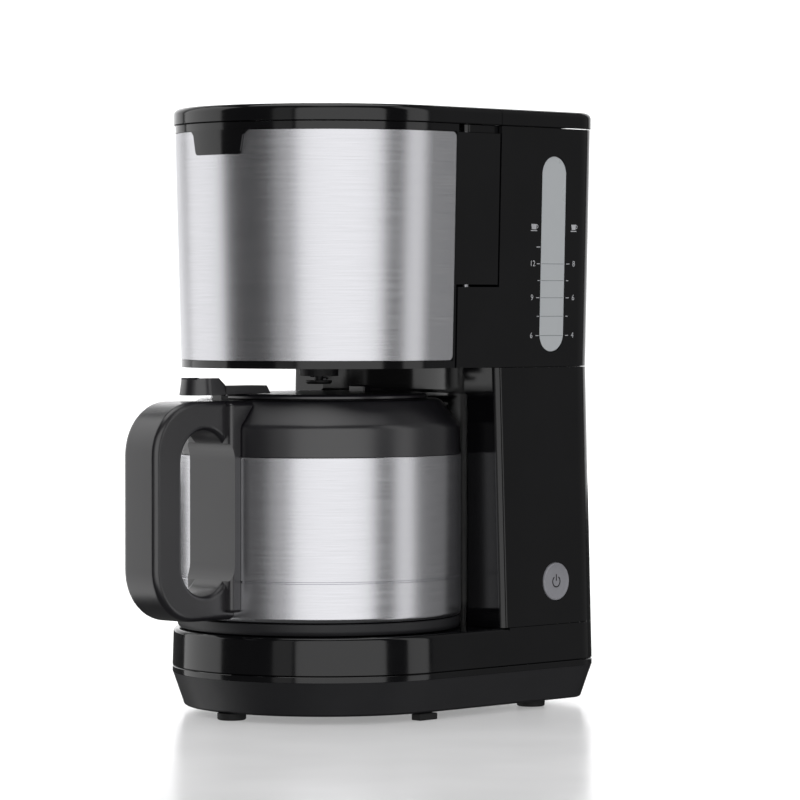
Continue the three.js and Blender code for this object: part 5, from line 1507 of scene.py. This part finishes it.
@dataclass
class Studio:
    """Plain floor, soft lights and the camera."""

    azimuth: float = 44.0
    focal: float = 184.5
    eye: Point = (1636.6, -1634.3, 229.0)
    heading: tuple[float, float] = (-0.6947, 0.7193)
    pitch: float = 1.33
    sensor: float = 36.0
    room: float = 0.06
    top_glow: float = 1.5
    box_top: float = 2.2
    box_low: float = -1.2
    sweep_glow: float = 6.0
    paper_glow: float = 0.28
    wall_depth: float = 3.2
    wall_bend: float = 0.9
    wall_top: float = 3.4
    sheet_half: float = 4.0

    def build(self) -> None:
        """Builds the studio."""
        self._floor()
        self._lights()
        self._camera()
        # Plain colour without a film curve, so that white paper comes out white.
        bpy.context.scene.view_settings.view_transform = "Standard"

    def _plain(self, name: str, color: str, roughness: float) -> bpy.types.Material:
        """Painted paper with a faint unevenness."""
        made = bpy.data.materials.new(name)
        made.use_nodes = True
        tree = made.node_tree
        shader = tree.nodes["Principled BSDF"]
        space = add_node(tree, "ShaderNodeTexCoord").outputs["Object"]
        noise = add_node(tree, "ShaderNodeTexNoise", {"Scale": 9.0}, {"Vector": space}).outputs["Fac"]
        shader.inputs["Base Color"].default_value = linear(color)
        tree.links.new(
            ramp(tree, noise, roughness - 0.03, roughness + 0.03, 0.3, 0.7), shader.inputs["Roughness"]
        )
        return made

    def _floor(self) -> None:
        """White floor and a white paper wall that curves up out of it behind the machine."""
        paper = self._plain("white_paper_sweep", "#f6f6f7", 0.22)
        shader = paper.node_tree.nodes["Principled BSDF"]
        shader.inputs["Emission Color"].default_value = (1.0, 1.0, 1.0, 1.0)
        shader.inputs["Emission Strength"].default_value = self.paper_glow
        depth, bend = self.wall_depth, self.wall_bend
        rise = [(depth + bend * math.sin(math.radians(a)), bend - bend * math.cos(math.radians(a)))
                for a in range(0, 91, 10)]
        floor = self._sheet("floor", [(-4.2, 0.0), (depth, 0.0)], paper)
        # The floor throws no light back up, which keeps the skirt and the sides deep black.
        floor.visible_diffuse = False
        floor.visible_glossy = False
        floor.visible_shadow = False
        self._sheet("paper_wall", [*rise, (depth + bend, self.wall_top)], paper)

    def _sheet(
        self, name: str, rows: Sequence[tuple[float, float]], paper: bpy.types.Material
    ) -> bpy.types.Object:
        """Wide sheet of paper, square to the camera.

        Args:
            name: object name.
            rows: (depth, height) in metres of each line it passes through.
            paper: its material.

        Returns:
            The sheet.
        """
        turn = Matrix.Rotation(math.radians(self.azimuth), 4, "Z")
        half = self.sheet_half
        vertices = [turn @ Vector((x, *row)) for row in rows for x in (-half, half)]
        faces = [(2 * i, 2 * i + 1, 2 * i + 3, 2 * i + 2) for i in range(len(rows) - 1)]
        mesh = bpy.data.meshes.new(name)
        mesh.from_pydata([tuple(v) for v in vertices], [], faces)
        mesh.shade_smooth()
        mesh.materials.append(paper)
        sheet = bpy.data.objects.new(name, mesh)
        bpy.context.scene.collection.objects.link(sheet)
        return sheet

    def _soft_box(
        self, name: str, angle: float, distance: float, width: float, glow: float
    ) -> None:
        """Upright soft box, at an angle from the camera's side.

        It runs on below the floor, as its reflection in a white floor would, so that the
        lowest surfaces mirror an even strip of light.

        Args:
            name: light name.
            angle: degrees to the camera's right as seen from the machine.
            distance: distance from the machine in metres.
            width: width in metres.
            glow: brightness of its face; white comes out at about 1.
        """
        bearing = math.radians(-90 + self.azimuth + angle)
        toward = Vector((math.cos(bearing), math.sin(bearing), 0))
        place = toward * distance + Vector((0, 0, (self.box_top + self.box_low) / 2))
        self._area(name, place, -toward, (width, self.box_top - self.box_low), glow)

    def _top_box(self) -> None:
        """Soft box overhead, which lights the lids and the tops of the handle and deck."""
        self._area("top_box", Vector((0, 0, 1.9)), Vector((0, 0, -1)), (1.6, 1.6), self.top_glow)

    def _area(
        self, name: str, place: Vector, facing: Vector, size: tuple[float, float], glow: float
    ) -> None:
        """Rectangular light of an even brightness.

        Args:
            name: light name.
            place: its middle in metres.
            facing: direction it shines in.
            size: width and height in metres.
            glow: brightness of its face.
        """
        light = bpy.data.lights.new(name, "AREA")
        light.shape, light.size, light.size_y = "RECTANGLE", size[0], size[1]
        light.energy = glow * math.pi * size[0] * size[1]
        made = bpy.data.objects.new(name, light)
        made.location = place
        made.rotation_euler = facing.to_track_quat("-Z", "Y").to_euler()
        bpy.context.scene.collection.objects.link(made)

    def _lights(self) -> None:
        """Dim room with tall soft boxes that set the bright and dark bands of the steel."""
        world = bpy.data.worlds.new("studio_air")
        world.use_nodes = True
        sky = world.node_tree.nodes["Background"]
        sky.inputs["Color"].default_value = (1.0, 1.0, 1.0, 1.0)
        sky.inputs["Strength"].default_value = self.room
        bpy.context.scene.world = world
        self._soft_box("left_box", -106, 1.7, 1.5, 1.15)
        self._soft_box("left_fill", -31, 2.7, 0.7, 0.4)
        self._soft_box("front_box", 12.5, 2.7, 3.6, 1.22)
        self._soft_box("right_box", 73, 1.8, 0.6, 1.0)
        self._soft_box("side_fill", 106, 1.8, 1.3, 0.12)
        self._top_box()
        self._sweep_light()

    def _sweep_light(self) -> None:
        """Wide light over the back of the sweep, turned away from the machine."""
        turn = Matrix.Rotation(math.radians(self.azimuth), 4, "Z")
        place = turn @ Vector((0, self.wall_depth - 0.9, 2.4))
        facing = turn @ Vector((0, 1.4, -1.7))
        self._area("sweep_light", place, facing, (5.0, 1.0), self.sweep_glow)

    def _camera(self) -> None:
        """Long lens at the height of the head, tilted slightly down."""
        lens = bpy.data.cameras.new("camera")
        lens.lens, lens.sensor_width = self.focal, self.sensor
        lens.clip_end = 20.0
        made = bpy.data.objects.new("camera", lens)
        eye = Vector(self.eye) * MM
        forward = Vector((*self.heading, -math.tan(math.radians(self.pitch))))
        made.location = eye
        made.rotation_euler = forward.to_track_quat("-Z", "Y").to_euler()
        bpy.context.scene.collection.objects.link(made)
        bpy.context.scene.camera = made


def main() -> None:
    """Builds the machine, then the studio."""
    logging.basicConfig(level=logging.INFO, format="%(message)s")
    Base().build()
    Column().build()
    Tank().build()
    Lids().build()
    FilterHolder().build()
    Carafe().build()
    Inside().dress()
    Studio().build()


if __name__ == "__main__":
    main()
